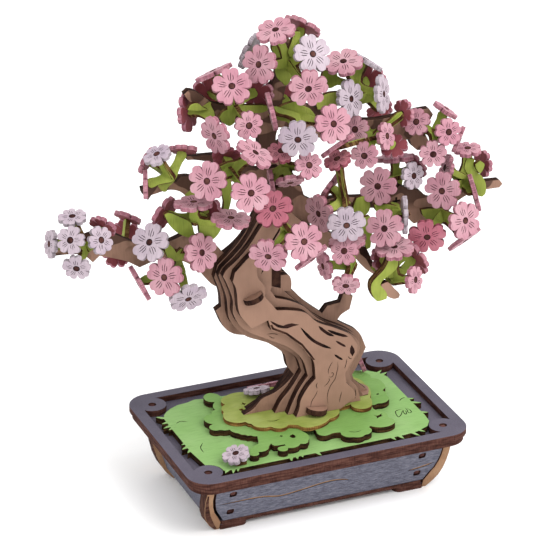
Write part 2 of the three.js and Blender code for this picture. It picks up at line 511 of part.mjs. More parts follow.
// ---------------------------------------------------------------- sprays
// Each spray has a hub, a foot on a branch plate's face, and blossoms: x, y, z of the centre, the
// azimuth and elevation it faces, and its size and print (L large, S small; p pink, w white, d deep pink).
const SPRAYS = {
  far_left: {
    hub: [-95, -2, 130], foot: [-95, 3.2, 127.5],
    blooms: [
      [-100.5, -1.5, 144, -135, 80, 'Sw'], [-110, -1.5, 134, -180, 10, 'Sw'],
      [-104.5, -10.5, 138.5, -130, 25, 'Sw'], [-92.5, -12, 137, -70, 25, 'Sw'],
      [-103, -12.5, 127, -120, -15, 'Sw'], [-87, -0.5, 137.5, 40, 30, 'Sp'],
    ],
  },
  left_twig: {
    hub: [-74, 10, 123.5], foot: [-75, 6.8, 122.5],
    blooms: [
      [-70.5, 15, 132, 35, 50, 'Sp'], [-69, 21.5, 122.5, 50, 5, 'Sp'], [-75, 18, 114.5, 90, -45, 'Sp'],
    ],
  },
  left_inner: {
    hub: [-60, -6.5, 123.5], foot: [-59.5, 3.2, 120],
    blooms: [
      [-71.5, -14, 133, -140, 35, 'Lw'], [-52.5, -22, 128.5, -70, 20, 'Lp'],
    ],
  },
  left_low: {
    hub: [-57.5, -11, 116.5], foot: [-54, 3.2, 118.3],
    blooms: [
      [-74.5, -8.5, 113, 175, -25, 'Lp'], [-68, -21.5, 120, -140, 15, 'Lp'],
      [-59, -23.5, 110, -93, -27.5, 'Lw'],
    ],
  },
  left_mid: {
    hub: [-52.5, -15.5, 140], foot: [-50, -4.3, 147.5],
    blooms: [
      [-62, -5, 140.5, 125, 20, 'Lp'], [-54.5, -19.9, 150, 101, 85, 'Lp'], [-45, -12, 142, 20, 0, 'Lp'],
      [-41.5, -28, 144, -45, 85, 'Lp'],
    ],
  },
  left_up: {
    hub: [-61.5, -12, 160], foot: [-62, -4.3, 152],
    blooms: [
      [-67.5, -13.5, 171, -165, 65, 'Sw'], [-68, -2.5, 164.5, 135, 20, 'Sp'],
      [-54, -7.5, 169, 65, 55, 'Sp'], [-72, -11, 158, 160, 0, 'Sp'],
    ],
  },
  mid_left: {
    hub: [-38, -20.5, 161.5], foot: [-36, -4.3, 152],
    blooms: [
      [-52, -29.5, 163.5, -135, 20, 'Lp'], [-32, -30.5, 172.5, -40, 58, 'Lp'],
      [-37, -38.5, 159.5, -100, 15, 'Lp'], [-36.5, -11, 164.5, 75, 35, 'Sd'],
    ],
  },
  upper_left: {
    hub: [-41.5, -4.5, 182], foot: [-40.5, -0.4, 183.5],
    blooms: [
      [-48, 3, 180.5, 135, -10, 'Lp'], [-44, -18.5, 178, -159, -5, 'Lp'],
    ],
  },
  upper_mid: {
    hub: [-31, -5.5, 184.5], foot: [-28.5, -0.4, 177.5],
    blooms: [
      [-35, -14, 196, -115, 45, 'Lp'], [-36.5, 2, 196.5, 125, 60, 'Lp'], [-35, 12, 184, 100, 0, 'Lp'],
      [-18.5, 0, 186.5, 35, 5, 'Lp'], [-30.5, -20.5, 181, -95, 10, 'Sp'],
    ],
  },
  top: {
    hub: [-6.5, -5, 198.5], foot: [-7, -0.4, 196],
    blooms: [
      [-13, -7.5, 214.5, -145, 70, 'Lp'], [3, 2, 211, 30, 45, 'Lp'],
      [-21.5, -11, 202.5, -150, 20, 'Lp'], [-18, 8.5, 201, 133, 20, 'Lw'],
      [-1.5, -18, 206.5, -85, 30, 'Lw'], [-5.5, -23.5, 194.5, -105, -5, 'Lp'],
    ],
  },
  top_right: {
    hub: [29.5, 8.5, 177.5], foot: [27, 6.8, 162],
    blooms: [
      [21.5, 2, 192, -130, 70, 'Lp'], [34.5, 9, 188.5, 5, 55, 'Lw'], [21.8, -4, 178, -60, 15, 'Lw'],
      [36.4, -4.3, 178, -41, 10, 'Lw'], [39.5, 17, 176, 50, 10, 'Lp'], [43.5, 13, 163, 20, -55, 'Sp'],
    ],
  },
  crown_front: {
    hub: [-4, -11.5, 176.5], foot: [-12, -0.4, 175],
    blooms: [
      [-11, -26, 174, -115, -5, 'Lw'], [4, -27, 178.5, -85, 20, 'Lp'],
      [-17.5, -13.5, 182.5, 165, -11.8, 'Lp'], [-4.5, 8.5, 179, 85, 10, 'Lp'],
    ],
  },
  centre_up: {
    hub: [-9.5, -10, 155], foot: [-14, -4.3, 149.5],
    blooms: [
      [-6, -25.5, 161, -90, 35, 'Sp'], [-14.5, -17, 165, -125, 65, 'Sd'],
      [-11.5, -19, 152.5, -100, -50, 'Sp'], [-17, -12, 149.5, 165, -5, 'Sp'],
    ],
  },
  right_fork: {
    hub: [33, -3.5, 158.5], foot: [33, 3.2, 159],
    blooms: [
      [24.2, -5.2, 164.3, -135, 20, 'Sp'], [24, -15, 156.5, -125, 5, 'Sp'],
      [35, -11.5, 162, -55, 15, 'Sp'], [43, -3, 152.5, 55, -55, 'Sp'], [47.5, -2.5, 167, 15, -8, 'Sp'],
    ],
  },
  right_tip: {
    hub: [62.5, -1.5, 154.5], foot: [60, 3.2, 155],
    blooms: [
      [53.5, -3, 162, -140, 30, 'Sp'], [67.5, -1, 164.5, -5, 55, 'Sp'],
      [62.5, -14.5, 160.5, -90, 20, 'Sp'], [70.5, -8.5, 153.5, -35.6, -19, 'Sp'],
      [56.5, -13, 151, -110, 5, 'Sp'],
    ],
  },
  far_right: {
    hub: [74, -6.5, 132], foot: [78, -4, 127],
    blooms: [
      [76, -6.5, 147, -140, 85, 'Sp'], [87, 0.5, 136, 10, -5, 'Sp'], [66.5, -6, 140, 175, 15, 'Sp'],
      [60, -16, 134.5, -140, 15, 'Lp'], [76, -14, 130, -18, 15, 'Lp'],
    ],
  },
  right_low: {
    hub: [63, -10, 120.5], foot: [63.5, -4, 120],
    blooms: [
      [65.5, -26, 124, -75, 15, 'Lp'], [69.5, -18.5, 111.5, -60, -45, 'Lp'],
      [51, -20.5, 117, -115, -10, 'Ld'],
    ],
  },
  right_mid: {
    hub: [46.5, 3, 135.5], foot: [47, -0.4, 129],
    blooms: [
      [47, 4.5, 143.5, 85, 75, 'Lp'], [49.5, -8, 140, -70, 15, 'Sw'], [34, -7, 137.5, -125, 15, 'Lp'],
      [58, 6.5, 137.5, 20, 20, 'Sp'],
    ],
  },
  centre_right: {
    hub: [16, -13, 135.5], foot: [14.5, -4, 131],
    blooms: [
      [2.5, -18, 135, -160, 0, 'Lp'], [12, -7, 141, 135, 30, 'Lp'], [9.5, -29.5, 133.5, -110, -5, 'Lw'],
      [11.5, -15.5, 156.5, -165, 65, 'Sd'],
    ],
  },
  centre_low: {
    hub: [-13.5, -22, 131], foot: [-13, -7.6, 131],
    blooms: [
      [-26.5, -32, 127, -125, -15, 'Lp'], [-22.5, -27.5, 145, -130, 45, 'Ld'],
      [-13.5, -38, 133.5, -95, 15, 'Lp'], [-7, -31.1, 122.1, -57.5, -43.3, 'Lp'],
    ],
  },
  right_front: {
    hub: [41.5, -11, 125], foot: [43, -4, 126],
    blooms: [
      [40.5, -20, 128.5, 160, 0, 'Lw'], [29, -25.5, 126.5, -135, 20, 'Lp'],
    ],
  },
  low_right: {
    hub: [15.5, -22, 110.5], foot: [17, -7.6, 112.5],
    blooms: [
      [9, -29, 121, -130, 35, 'Sp'], [3.2, -21.8, 112.3, -175, -2.5, 'Sp'],
      [9.5, -29.5, 106, -115, -25, 'Sp'], [15.5, -17.5, 119.5, 165, 80, 'Lp'],
    ],
  },
  hook: {
    hub: [34, -25, 101.5], foot: [32.5, -7.6, 101],
    blooms: [
      [33, -26.5, 117, -130, 80, 'Lp'], [31.5, -16, 109, 120, -10, 'Sp'],
      [45, -21.5, 108.5, 15, 20, 'Lp'], [38.5, -34.5, 105, -55, 10, 'Sp'],
    ],
  },
};

function sprayParts({ hub, foot, blooms }) {
  const centre = new THREE.Vector3(...hub);
  const toward = Math.sign(foot[1] - hub[1]);
  const landing = new THREE.Vector3(foot[0], foot[1] - toward * GAP, foot[2]);
  const parts = [
    new THREE.BoxGeometry(HUB, HUB, HUB).translate(...hub),
    arm(centre, landing, STALK.half_widths, STALK.thickness),
  ];
  for (const [x, y, z, azimuth, elevation, kind] of blooms) {
    const normal = facing(azimuth, elevation);
    const middle = new THREE.Vector3(x, y, z);
    const radius = kind[0] === 'L' ? BLOSSOM.large : BLOSSOM.small;
    const tip = middle.clone().addScaledVector(normal, -ARM.sunk);
    const start = new THREE.Vector3().subVectors(tip, centre).setLength(ARM.start).add(centre);
    parts.push(arm(start, tip, ARM.half_widths, SPRIG_PLY));
    parts.push(blossom(radius, normal, middle));
  }
  return parts;
}

// An outline whose every edge has moved outwards by the same amount.
function grownOutline(points, amount) {
  const count = points.length;
  const area = points.reduce((sum, [x, y], i) => {
    const [nx, ny] = points[(i + 1) % count];
    return sum + x * ny - nx * y;
  }, 0);
  const outward = amount * Math.sign(area);
  return outline(points.map((point, i) => {
    const [before, after] = [points[(i + count - 1) % count], points[(i + 1) % count]];
    const first = new THREE.Vector2(point[0] - before[0], point[1] - before[1]).normalize();
    const second = new THREE.Vector2(after[0] - point[0], after[1] - point[1]).normalize();
    const bisector = new THREE.Vector2(first.y + second.y, -first.x - second.x).normalize();
    const stretch = Math.max(0.5, bisector.x * first.y - bisector.y * first.x);
    return [point[0] + (bisector.x * outward) / stretch, point[1] + (bisector.y * outward) / stretch];
  }));
}

// The branch plates, swollen by the gap, which every spray is cut clear of.
function branchClearance() {
  return join(Object.values(LAYERS).map(({ front, points }) => {
    const swollen = standingPlate(grownOutline(points, GAP), TRUNK_PLY + 2 * GAP);
    return toSolid(swollen).translate(0, front - GAP, 0);
  }));
}

function buildSprays() {
  const clearance = branchClearance();
  for (const [name, spray] of Object.entries(SPRAYS)) {
    const whole = join(sprayParts(spray).map(toSolid)).subtract(clearance);
    place(`spray_${name}`, toGeometry(largestPiece(whole).simplify(SMALLEST_EDGE)), PRINTED_PINK);
  }
}

// ---------------------------------------------------------------- fallen blossoms
// Loose blossoms on the ground: centre, the azimuth and elevation each faces, radius and print.
const FALLEN = {
  fallen_pink_behind: { at: [-3.5, 28, 34.6], face: [92, 62], radius: BLOSSOM.large, material: PRINTED_PINK },
  fallen_white_behind: { at: [-12.8, 14.2, 39.9], face: [90, 72], radius: BLOSSOM.small, material: PRINTED_WHITE },
  fallen_pink_edge: { at: [39.9, 22.7, 41.3], face: [-12, 21], radius: BLOSSOM.small, material: PRINTED_PINK },
  fallen_white_front: {
    at: [-41, -31, 36.4], face: [-163, 73], radius: BLOSSOM.small, material: PRINTED_WHITE, stand: true,
  },
};
const STAND = { length: 5, width: 3.4, shift: [1.6, -0.6] };  // the block one fallen blossom stands on

function buildFallen() {
  for (const [name, { at, face, radius, material, stand }] of Object.entries(FALLEN)) {
    const plate = blossom(radius, facing(...face), new THREE.Vector3(...at));
    if (stand) {
      const height = at[2] - LEVEL.moss;
      const block = new THREE.BoxGeometry(STAND.length, STAND.width, height);
      block.translate(at[0] + STAND.shift[0], at[1] + STAND.shift[1], LEVEL.moss + height / 2);
      place(name, toGeometry(toSolid(plate).add(toSolid(block))), material);
    } else {
      place(name, plate, material);
    }
  }
}

buildTray();
buildGround();
buildTrunk();
buildLedges();
buildSprays();
buildFallen();

// The finished model stands with the centre of its box's underside at the origin.
const box = new THREE.Box3().setFromObject(bonsai);
const middle = box.getCenter(new THREE.Vector3());
bonsai.position.set(-middle.x, -middle.y, -box.min.z);

const model = new THREE.Group();
model.add(bonsai);
export default model;
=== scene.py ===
# %% [markdown]
# # A cherry blossom bonsai of printed, laser-cut plywood
#
# The real object is a small wooden model kit. Every part of it is cut from thin printed birch
# plywood by a laser, which leaves the faces coloured and the cut edges scorched brown. Plates are
# stacked to make the trunk, and plates plugged through each other make the tray and the sprigs.
#
# A model like this is one idea repeated: an outline, a thickness, a printed face and a burnt edge.
# So this lesson writes that idea once, as a function that turns an outline into a closed plate,
# and then uses it for almost everything.

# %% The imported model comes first
import math
import random

import bmesh
import bpy
from mathutils import Matrix, Vector
from mathutils.geometry import tessellate_polygon


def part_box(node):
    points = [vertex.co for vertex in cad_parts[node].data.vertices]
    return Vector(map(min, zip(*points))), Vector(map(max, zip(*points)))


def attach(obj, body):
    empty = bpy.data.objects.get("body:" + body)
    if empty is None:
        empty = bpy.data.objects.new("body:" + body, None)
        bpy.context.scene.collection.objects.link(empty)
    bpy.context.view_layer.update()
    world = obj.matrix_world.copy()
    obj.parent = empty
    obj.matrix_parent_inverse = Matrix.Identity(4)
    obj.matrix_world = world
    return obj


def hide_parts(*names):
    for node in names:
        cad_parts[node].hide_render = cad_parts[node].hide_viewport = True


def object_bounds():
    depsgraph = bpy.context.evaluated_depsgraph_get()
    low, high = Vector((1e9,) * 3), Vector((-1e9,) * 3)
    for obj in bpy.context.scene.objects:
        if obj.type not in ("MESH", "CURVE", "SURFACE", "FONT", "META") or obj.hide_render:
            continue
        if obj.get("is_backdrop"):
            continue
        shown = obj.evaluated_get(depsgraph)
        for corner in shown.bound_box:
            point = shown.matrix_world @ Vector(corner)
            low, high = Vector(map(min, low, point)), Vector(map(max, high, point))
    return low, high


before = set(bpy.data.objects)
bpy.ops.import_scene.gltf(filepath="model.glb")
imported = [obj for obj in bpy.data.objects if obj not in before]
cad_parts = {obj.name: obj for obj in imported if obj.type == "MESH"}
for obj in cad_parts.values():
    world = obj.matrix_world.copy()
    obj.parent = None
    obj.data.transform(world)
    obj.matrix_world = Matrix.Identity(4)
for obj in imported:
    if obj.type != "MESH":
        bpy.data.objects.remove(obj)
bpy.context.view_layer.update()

# %% [markdown]
# ## Where things are
#
# The model was designed from the middle of its tray, but its own origin is the middle of its whole
# box. The tray's rim is a symmetrical plate, so its box says how far apart the two are, and one
# small function then takes every place from the design into the frame.

# %% Places, in millimetres from the tray's centre
MM = 0.001
rim_low, rim_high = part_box("tray_rim")
TRAY_CENTRE = Vector(((rim_low.x + rim_high.x) / 2, (rim_low.y + rim_high.y) / 2, 0))


def at(x, y, z):
    """A point in millimetres from the tray's centre, at a height above the table."""
    return TRAY_CENTRE + Vector((x, y, z)) * MM


print("tray centre is", round(TRAY_CENTRE.x / MM, 2), "mm from the origin")

# %% [markdown]
# ## Colour and material helpers
#
# Colours are picked as sRGB hex values, as a paint shop names them, but a shader adds and
# multiplies light, so it needs linear numbers. One function does that. Another adds a node with its
# settings and its links, which keeps each material below short enough to read.


# %% Helpers for materials
def srgb(hex_colour):
    """An sRGB hex value as the linear colour that a shader socket holds."""
    channels = [int(hex_colour[i : i + 2], 16) / 255 for i in (1, 3, 5)]
    linear = [c / 12.92 if c <= 0.04045 else ((c + 0.055) / 1.055) ** 2.4 for c in channels]
    return (*linear, 1.0)


def add_node(tree, kind, inputs=None, **settings):
    """A new node. An input is given a value, or the socket that it is linked from."""
    node = tree.nodes.new(kind)
    for name, value in settings.items():
        setattr(node, name, value)
    for name, value in (inputs or {}).items():
        if isinstance(value, bpy.types.NodeSocket):
            tree.links.new(value, node.inputs[name])
        else:
            node.inputs[name].default_value = value
    return node


def pattern_place(tree, attribute):
    """Where a pattern is read: the object's own place, or an attribute that turns with the piece."""
    if attribute:
        return add_node(tree, "ShaderNodeAttribute", attribute_name=attribute).outputs["Vector"]
    return add_node(tree, "ShaderNodeTexCoord").outputs["Object"]


def streaks(tree, place, size, detail=3.0):
    """Noise drawn out along the axes: size is a streak's length along x, y and z in millimetres."""
    scale = tuple(1 / (length * MM) for length in size)
    mapped = add_node(tree, "ShaderNodeMapping", {"Vector": place, "Scale": scale})
    noise = {"Vector": mapped.outputs["Vector"], "Scale": 1.0, "Detail": detail, "Roughness": 0.6}
    return add_node(tree, "ShaderNodeTexNoise", noise).outputs["Fac"]


def shades(tree, amount, stops):
    """A colour ramp with stops of (position, hex colour)."""
    ramp = add_node(tree, "ShaderNodeValToRGB", {"Fac": amount})
    elements = ramp.color_ramp.elements
    while len(elements) < len(stops):
        elements.new(0.5)
    for element, (position, colour) in zip(elements, stops):
        element.position = position
        element.color = srgb(colour)
    return ramp.outputs["Color"]


def blend(tree, amount, first, second, mode="MIX"):
    """Two colours mixed."""
    node = add_node(tree, "ShaderNodeMix", data_type="RGBA", blend_type=mode)
    for socket, value in zip((node.inputs[0], node.inputs[6], node.inputs[7]), (amount, first, second)):
        if isinstance(value, bpy.types.NodeSocket):
            tree.links.new(value, socket)
        else:
            socket.default_value = value
    return node.outputs[2]


def new_material(name, roughness, specular=0.5):
    """A material with its shader ready: (material, tree, shader)."""
    material = bpy.data.materials.new(name)
    material.use_nodes = True
    shader = material.node_tree.nodes["Principled BSDF"]
    shader.inputs["Roughness"].default_value = roughness
    shader.inputs["Specular IOR Level"].default_value = specular
    return material, material.node_tree, shader


def dress(tree, shader, colour, height=None, bump=0.2, relief=0.1):
    """Gives a shader its colour and, where there is a height pattern, its bump in millimetres."""
    tree.links.new(colour, shader.inputs["Base Color"])
    if height is not None:
        settings = {"Height": height, "Strength": bump, "Distance": relief * MM}
        tree.links.new(add_node(tree, "ShaderNodeBump", settings).outputs["Normal"], shader.inputs["Normal"])


# %% [markdown]
# ## The printed face
#
# The ink soaks in, so the face is matt, and the wood's fine straight grain still shows through as
# streaks some 0.4 mm wide and a few millimetres long. Two noises do it: one stretched along the
# grain, and a broad one for the uneven ink. Each print gets its own three shades, dark to light.


# %% Printed birch plywood
INK = (0.7, 0.2)  # roughness and specular of unvarnished ink: matt, with hardly any highlight
INK_RELIEF = (0.2, 0.05)  # bump strength and height in millimetres of the grain under it


def printed_birch(
    name, dark, middle, light, grain=(7, 0.5, 0.5), attribute=None, cloud=(14, 14, 14), grain_strength=0.6
):
    """Ink on birch plywood. grain and cloud are a streak's and a tone's length along each axis in mm."""
    material, tree, shader = new_material(name, *INK)
    place = pattern_place(tree, attribute)
    fine = streaks(tree, place, grain)
    broad = streaks(tree, place, cloud, 2.0)
    colour = shades(tree, broad, [(0.3, dark), (0.5, middle), (0.72, light)])
    grey = shades(tree, fine, [(0.25, "#c0c0c0"), (0.5, "#f0f0f0"), (0.75, "#ffffff")])
    dress(tree, shader, blend(tree, grain_strength, colour, grey, "MULTIPLY"), fine, *INK_RELIEF)
    return material


# %% [markdown]
# ## The bark print and the burnt edge
#
# The trunk and the branches carry a bark print: tan, with brown patches that end in wavy borders.
# A noise with a hard threshold makes such patches.
#
# The laser's cut is a wall of charred wood. It is dark brown with fine lines across the plate,
# where the beam pulsed, and the plies show as bands along it. The lines are drawn about twice as
# coarse as real ones, because at 0.1 mm they would vanish.


# %% Bark print, and laser-scorched edges
PATCH_STARTS, PATCH_FULL = 0.48, 0.5  # the noise values between which bare bark turns brown
CROWN_STARTS, CROWN_FULL = 122 * MM, 126 * MM  # the heights between which the patches set in


def bark_print(name, tan, brown, shadow):
    """Tan bark print, which has brown patches with hard wavy borders up in the crown."""
    material, tree, shader = new_material(name, *INK)
    place = pattern_place(tree, None)
    fine = streaks(tree, place, (0.6, 0.6, 6))
    patches = streaks(tree, place, (13, 13, 9), 1.0)
    broad = streaks(tree, place, (8, 8, 14), 2.0)
    ground = shades(tree, broad, [(0.3, shadow), (0.5, tan), (0.8, tan)])
    mask = shades(tree, patches, [(0.0, "#000000"), (PATCH_STARTS, "#000000"), (PATCH_FULL, "#ffffff")])
    height = add_node(tree, "ShaderNodeSeparateXYZ", {"Vector": place}).outputs["Z"]
    heights = {"Value": height, "From Min": CROWN_STARTS, "From Max": CROWN_FULL}
    crown = add_node(tree, "ShaderNodeMapRange", heights)
    mask = blend(tree, 1.0, mask, crown.outputs["Result"], "MULTIPLY")
    colour = blend(tree, mask, ground, srgb(brown))
    grey = shades(tree, fine, [(0.25, "#d0d0d0"), (0.5, "#f4f4f4"), (0.75, "#ffffff")])
    dress(tree, shader, blend(tree, 0.5, colour, grey, "MULTIPLY"), fine, *INK_RELIEF)
    return material


CHAR = (0.8, 0.08)  # roughness and specular of charred wood: dull, and darker than any ink
CHAR_RELIEF = (0.4, 0.1)  # bump strength and height in millimetres of its lines
PULSE_WIDTH, PULSE_LENGTH = 0.22, 5  # the lines across the plate, in millimetres
PLY_WIDTH, PLY_LENGTH = 0.9, 6  # the bands along it


def scorched_edge(name, char, middle, ply, thickness_axis=1, attribute=None):
    """The charred wall of a laser cut. thickness_axis is the axis that the beam ran along."""
    material, tree, shader = new_material(name, *CHAR)
    place = pattern_place(tree, attribute)
    across, along = [PULSE_WIDTH] * 3, [PLY_LENGTH] * 3
    across[thickness_axis], along[thickness_axis] = PULSE_LENGTH, PLY_WIDTH
    pulses = streaks(tree, place, across, 2.0)
    plies = streaks(tree, place, along, 1.0)
    ground = shades(tree, plies, [(0.36, char), (0.5, middle), (0.66, ply)])
    grey = shades(tree, pulses, [(0.3, "#8c8c8c"), (0.5, "#d8d8d8"), (0.7, "#ffffff")])
    dress(tree, shader, blend(tree, 0.8, ground, grey, "MULTIPLY"), pulses, *CHAR_RELIEF)
    return material


# Each print has its dark, middle and light shade, then how its grain runs
STANDING_GRAIN, LEAF_GRAIN = (0.6, 0.6, 6), (0.5, 0.5, 6)
MOSS_CLOUD = (26, 26, 26)
ON_PETALS = ((0.5, 5, 0.5), "petal_place")  # the grain runs along the blossom, and turns with it
GREY_PRINT = printed_birch(
    "grey printed birch", "#55505d", "#5a5562", "#5f5a67", (0.7, 0.5, 0.5), grain_strength=0.75
)
GREY_GRAIN = printed_birch(
    "grey printed birch, bold grain", "#4b4b57", "#61616f", "#7b7b87", (0.8, 0.5, 0.45),
    cloud=(3, 0.8, 0.6), grain_strength=1,
)
MOSS_PRINT = printed_birch("moss green printed birch", "#6f974b", "#779d54", "#81a45f", cloud=MOSS_CLOUD)
GRASS_PRINT = printed_birch("grass green printed birch", "#7ba35b", "#84aa65", "#8eb170", cloud=MOSS_CLOUD)
MOUND_PRINT = printed_birch("yellow-green printed birch", "#7e8c3a", "#939d51", "#9ba65f")
LEAF_PRINT = printed_birch("leaf green printed birch", "#6c792c", "#848f3b", "#9ba44c", LEAF_GRAIN)
BARK_PLAIN = printed_birch(
    "plain bark printed birch", "#856756", "#8e6e5d", "#937260", STANDING_GRAIN, grain_strength=0.12
)
BARK_PRINT = bark_print("bark printed birch", "#8b6b5a", "#523a2f", "#75584a")
TAN_BIRCH = printed_birch("sanded birch plywood", "#7f5c43", "#947154", "#a18063", STANDING_GRAIN)
PINK_PRINT = printed_birch("pink printed birch", "#aa7583", "#b58590", "#ba929a", *ON_PETALS)
# Pink darkened as painted shade, for blossoms that sit in the crown's shade
PINK_FACE_PAINTED_SHADE = printed_birch("pink printed birch, painted shade", "#9d5765", "#ad6574", "#b37580", *ON_PETALS)
WHITE_PRINT = printed_birch("white printed birch", "#a494a1", "#afa0a9", "#b7a8b1", *ON_PETALS)

STANDING, LYING = 1, 2  # the axis that the beam ran along, on upright plates and on flat ones
# The trunk's burnt edge is the char's own dark brown, darkened further as painted shade in the trunk's recesses
TRUNK_EDGE_AND_SHADE = scorched_edge("scorched birch edge and painted shade, trunk", "#1f0f0c", "#351f18", "#4d3327", STANDING)
TRAY_EDGE = scorched_edge("scorched birch edge, tray", "#40251f", "#52332c", "#604037", LYING)
MOSS_EDGE = scorched_edge("scorched birch edge, moss", "#1f140a", "#392616", "#533b22", LYING)
MOUND_EDGE = scorched_edge("scorched birch edge, mound", "#563719", "#7f5a2e", "#a07a44", LYING)
SPRIG_EDGE = scorched_edge("scorched birch edge, sprigs", "#391f12", "#583922", "#7a6039", STANDING)
PINK_EDGE = scorched_edge("pink birch edge", "#9c6673", "#af7784", "#b98690", LYING, "petal_place")
# The pink edge, darkened as painted shade for the same blossoms
PINK_CUT_PAINTED_SHADE = scorched_edge("pink birch edge, painted shade", "#7a3d49", "#8f4b57", "#9c5964", LYING, "petal_place")
WHITE_EDGE = scorched_edge("white birch edge", "#9d9097", "#b0a4ab", "#bbb0b7", LYING, "petal_place")
# The blossoms' backs are a rose print, darkened further as painted shade
ROSE_BACK_AND_SHADE = printed_birch("rose back print and painted shade", "#6d2f38", "#7e3b42", "#8a464d", *ON_PETALS)
LILAC_BACK = printed_birch("lilac stained birch", "#8e818c", "#9c909a", "#a79da5", *ON_PETALS)
GREY_LINE = scorched_edge("laser engraving on white", "#2c2228", "#3c3036", "#55484f", LYING, "petal_place")
LEG_EDGE = scorched_edge("scorched birch edge, legs", "#2f1a15", "#4a2c24", "#66473a", STANDING)
PINK_LINE = scorched_edge("laser engraving on pink", "#33161a", "#43202a", "#5a2f38", LYING, "petal_place")
BURN = scorched_edge("laser engraving", "#140a09", "#281714", "#39221e", STANDING)
PEG_END = scorched_edge("peg end grain", "#3a201e", "#50302c", "#66433c", LYING, "petal_place")
print("materials made:", len(bpy.data.materials))

# %% [markdown]
# ## From an outline to a plate
#
# A solid from the design is made of triangles, and its curves are coarse. Its flat face still holds
# the outline that the plate was drawn with. The edges that only one of the face's triangles uses are
# the border, and chained together they give the outline back. A spline through those points rounds
# the coarse corners, and leaves sharp ones, such as a blade of grass, alone.


# %% Reading an outline from a solid
SNAP = 0.005 * MM  # points closer than this are one point
STRAIGHT = 0.4  # a turn below this many degrees is none


def area(loop):
    """The area inside a closed outline, positive if it runs anticlockwise."""
    return sum(a.cross(b) for a, b in zip(loop, loop[1:] + loop[:1])) / 2


def turn(before, point, after):
    """How far the path turns at a point, in degrees."""
    first, second = point - before, after - point
    if min(first.length, second.length) < SNAP:
        return 0
    return math.degrees(first.angle(second))


def without_needless_points(loop):
    """The outline without the points that lie on a straight stretch."""
    neighbours = zip(loop[-1:] + loop[:-1], loop, loop[1:] + loop[:1])
    return [point for before, point, after in neighbours if turn(before, point, after) > STRAIGHT]


def face_outlines(node, axis, side, steepest=0.99):
    """The closed outlines of a solid's flat face: the largest first, anticlockwise, then its holes."""
    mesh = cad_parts[node].data
    across = [k for k in range(3) if k != axis]
    border = {}
    for polygon in mesh.polygons:
        if polygon.normal[axis] * side < steepest:
            continue
        corners = [tuple(round(x / SNAP) for x in mesh.vertices[i].co) for i in polygon.vertices]
        for a, b in zip(corners, corners[1:] + corners[:1]):
            if a in border.get(b, []):
                border[b].remove(a)
            else:
                border.setdefault(a, []).append(b)
    loops = []
    while any(border.values()):
        start = next(a for a, following in border.items() if following)
        loop, here = [], start
        while border.get(here):
            loop.append(Vector([here[k] * SNAP for k in across]))
            here = border[here].pop()
        loops.append(without_needless_points(loop))
    loops.sort(key=lambda loop: -abs(area(loop)))
    return loops if area(loops[0]) > 0 else [loop[::-1] for loop in loops]


# %% Rounding an outline with a spline
def spline_stretch(p0, p1, p2, p3, steps):
    """Points from p1 up to p2 on the centripetal spline through four points."""
    knots = [0.0]
    for a, b in ((p0, p1), (p1, p2), (p2, p3)):
        knots.append(knots[-1] + max((b - a).length, 1e-9) ** 0.5)
    k0, k1, k2, k3 = knots
    points = []
    for step in range(steps):
        k = k1 + (k2 - k1) * step / steps
        a1 = p0 * ((k1 - k) / (k1 - k0)) + p1 * ((k - k0) / (k1 - k0))
        a2 = p1 * ((k2 - k) / (k2 - k1)) + p2 * ((k - k1) / (k2 - k1))
        a3 = p2 * ((k3 - k) / (k3 - k2)) + p3 * ((k - k2) / (k3 - k2))
        b1 = a1 * ((k2 - k) / (k2 - k0)) + a2 * ((k - k0) / (k2 - k0))
        b2 = a2 * ((k3 - k) / (k3 - k1)) + a3 * ((k - k1) / (k3 - k1))
        points.append(b1 * ((k2 - k) / (k2 - k1)) + b2 * ((k - k1) / (k2 - k1)))
    return points


def rounded(loop, steps=4, sharpest=75):
    """A closed outline with its corners rounded, apart from those sharper than `sharpest` degrees."""
    count = len(loop)
    sharp = [turn(loop[i - 1], loop[i], loop[(i + 1) % count]) > sharpest for i in range(count)]
    points = []
    for i in range(count):
        p1, p2 = loop[i], loop[(i + 1) % count]
        p0 = p1 * 2 - p2 if sharp[i] else loop[i - 1]
        p3 = p2 * 2 - p1 if sharp[(i + 1) % count] else loop[(i + 2) % count]
        points += spline_stretch(p0, p1, p2, p3, steps)
    return points


def inset(loop, amount):
    """The outline moved towards the plate, which lies on its left."""
    moved = []
    for i, point in enumerate(loop):
        first = (point - loop[i - 1]).normalized()
        second = (loop[(i + 1) % len(loop)] - point).normalized()
        first_left = Vector((-first.y, first.x))
        left = first_left + Vector((-second.y, second.x))
        left = left.normalized() if left.length > 1e-6 else first_left
        moved.append(point + left * (amount / max(0.5, left.dot(first_left))))
    return moved


# %% [markdown]
# ## The plate itself
#
# A plate could be a filled curve with an extrusion, but its engraved lines should be real grooves.
# So the mesh is built directly: the printed face is filled with the grooves left out as holes, each
# groove gets walls and a floor, and the outer wall meets both faces in a chamfer of a tenth of a
# millimetre, which is what sanding leaves and what catches the light. The slots are the same on
# every plate: 0 the printed face, 1 the burnt edge, 2 the engraving, 3 the back, and 4 a peg's end.

# %% Building a closed plate
CHAMFER = 0.13 * MM
GROOVE = 0.3 * MM  # how deep an engraved line is
PRINT_SLOT, EDGE_SLOT, BURN_SLOT, BACK_SLOT, PEG_SLOT = range(5)


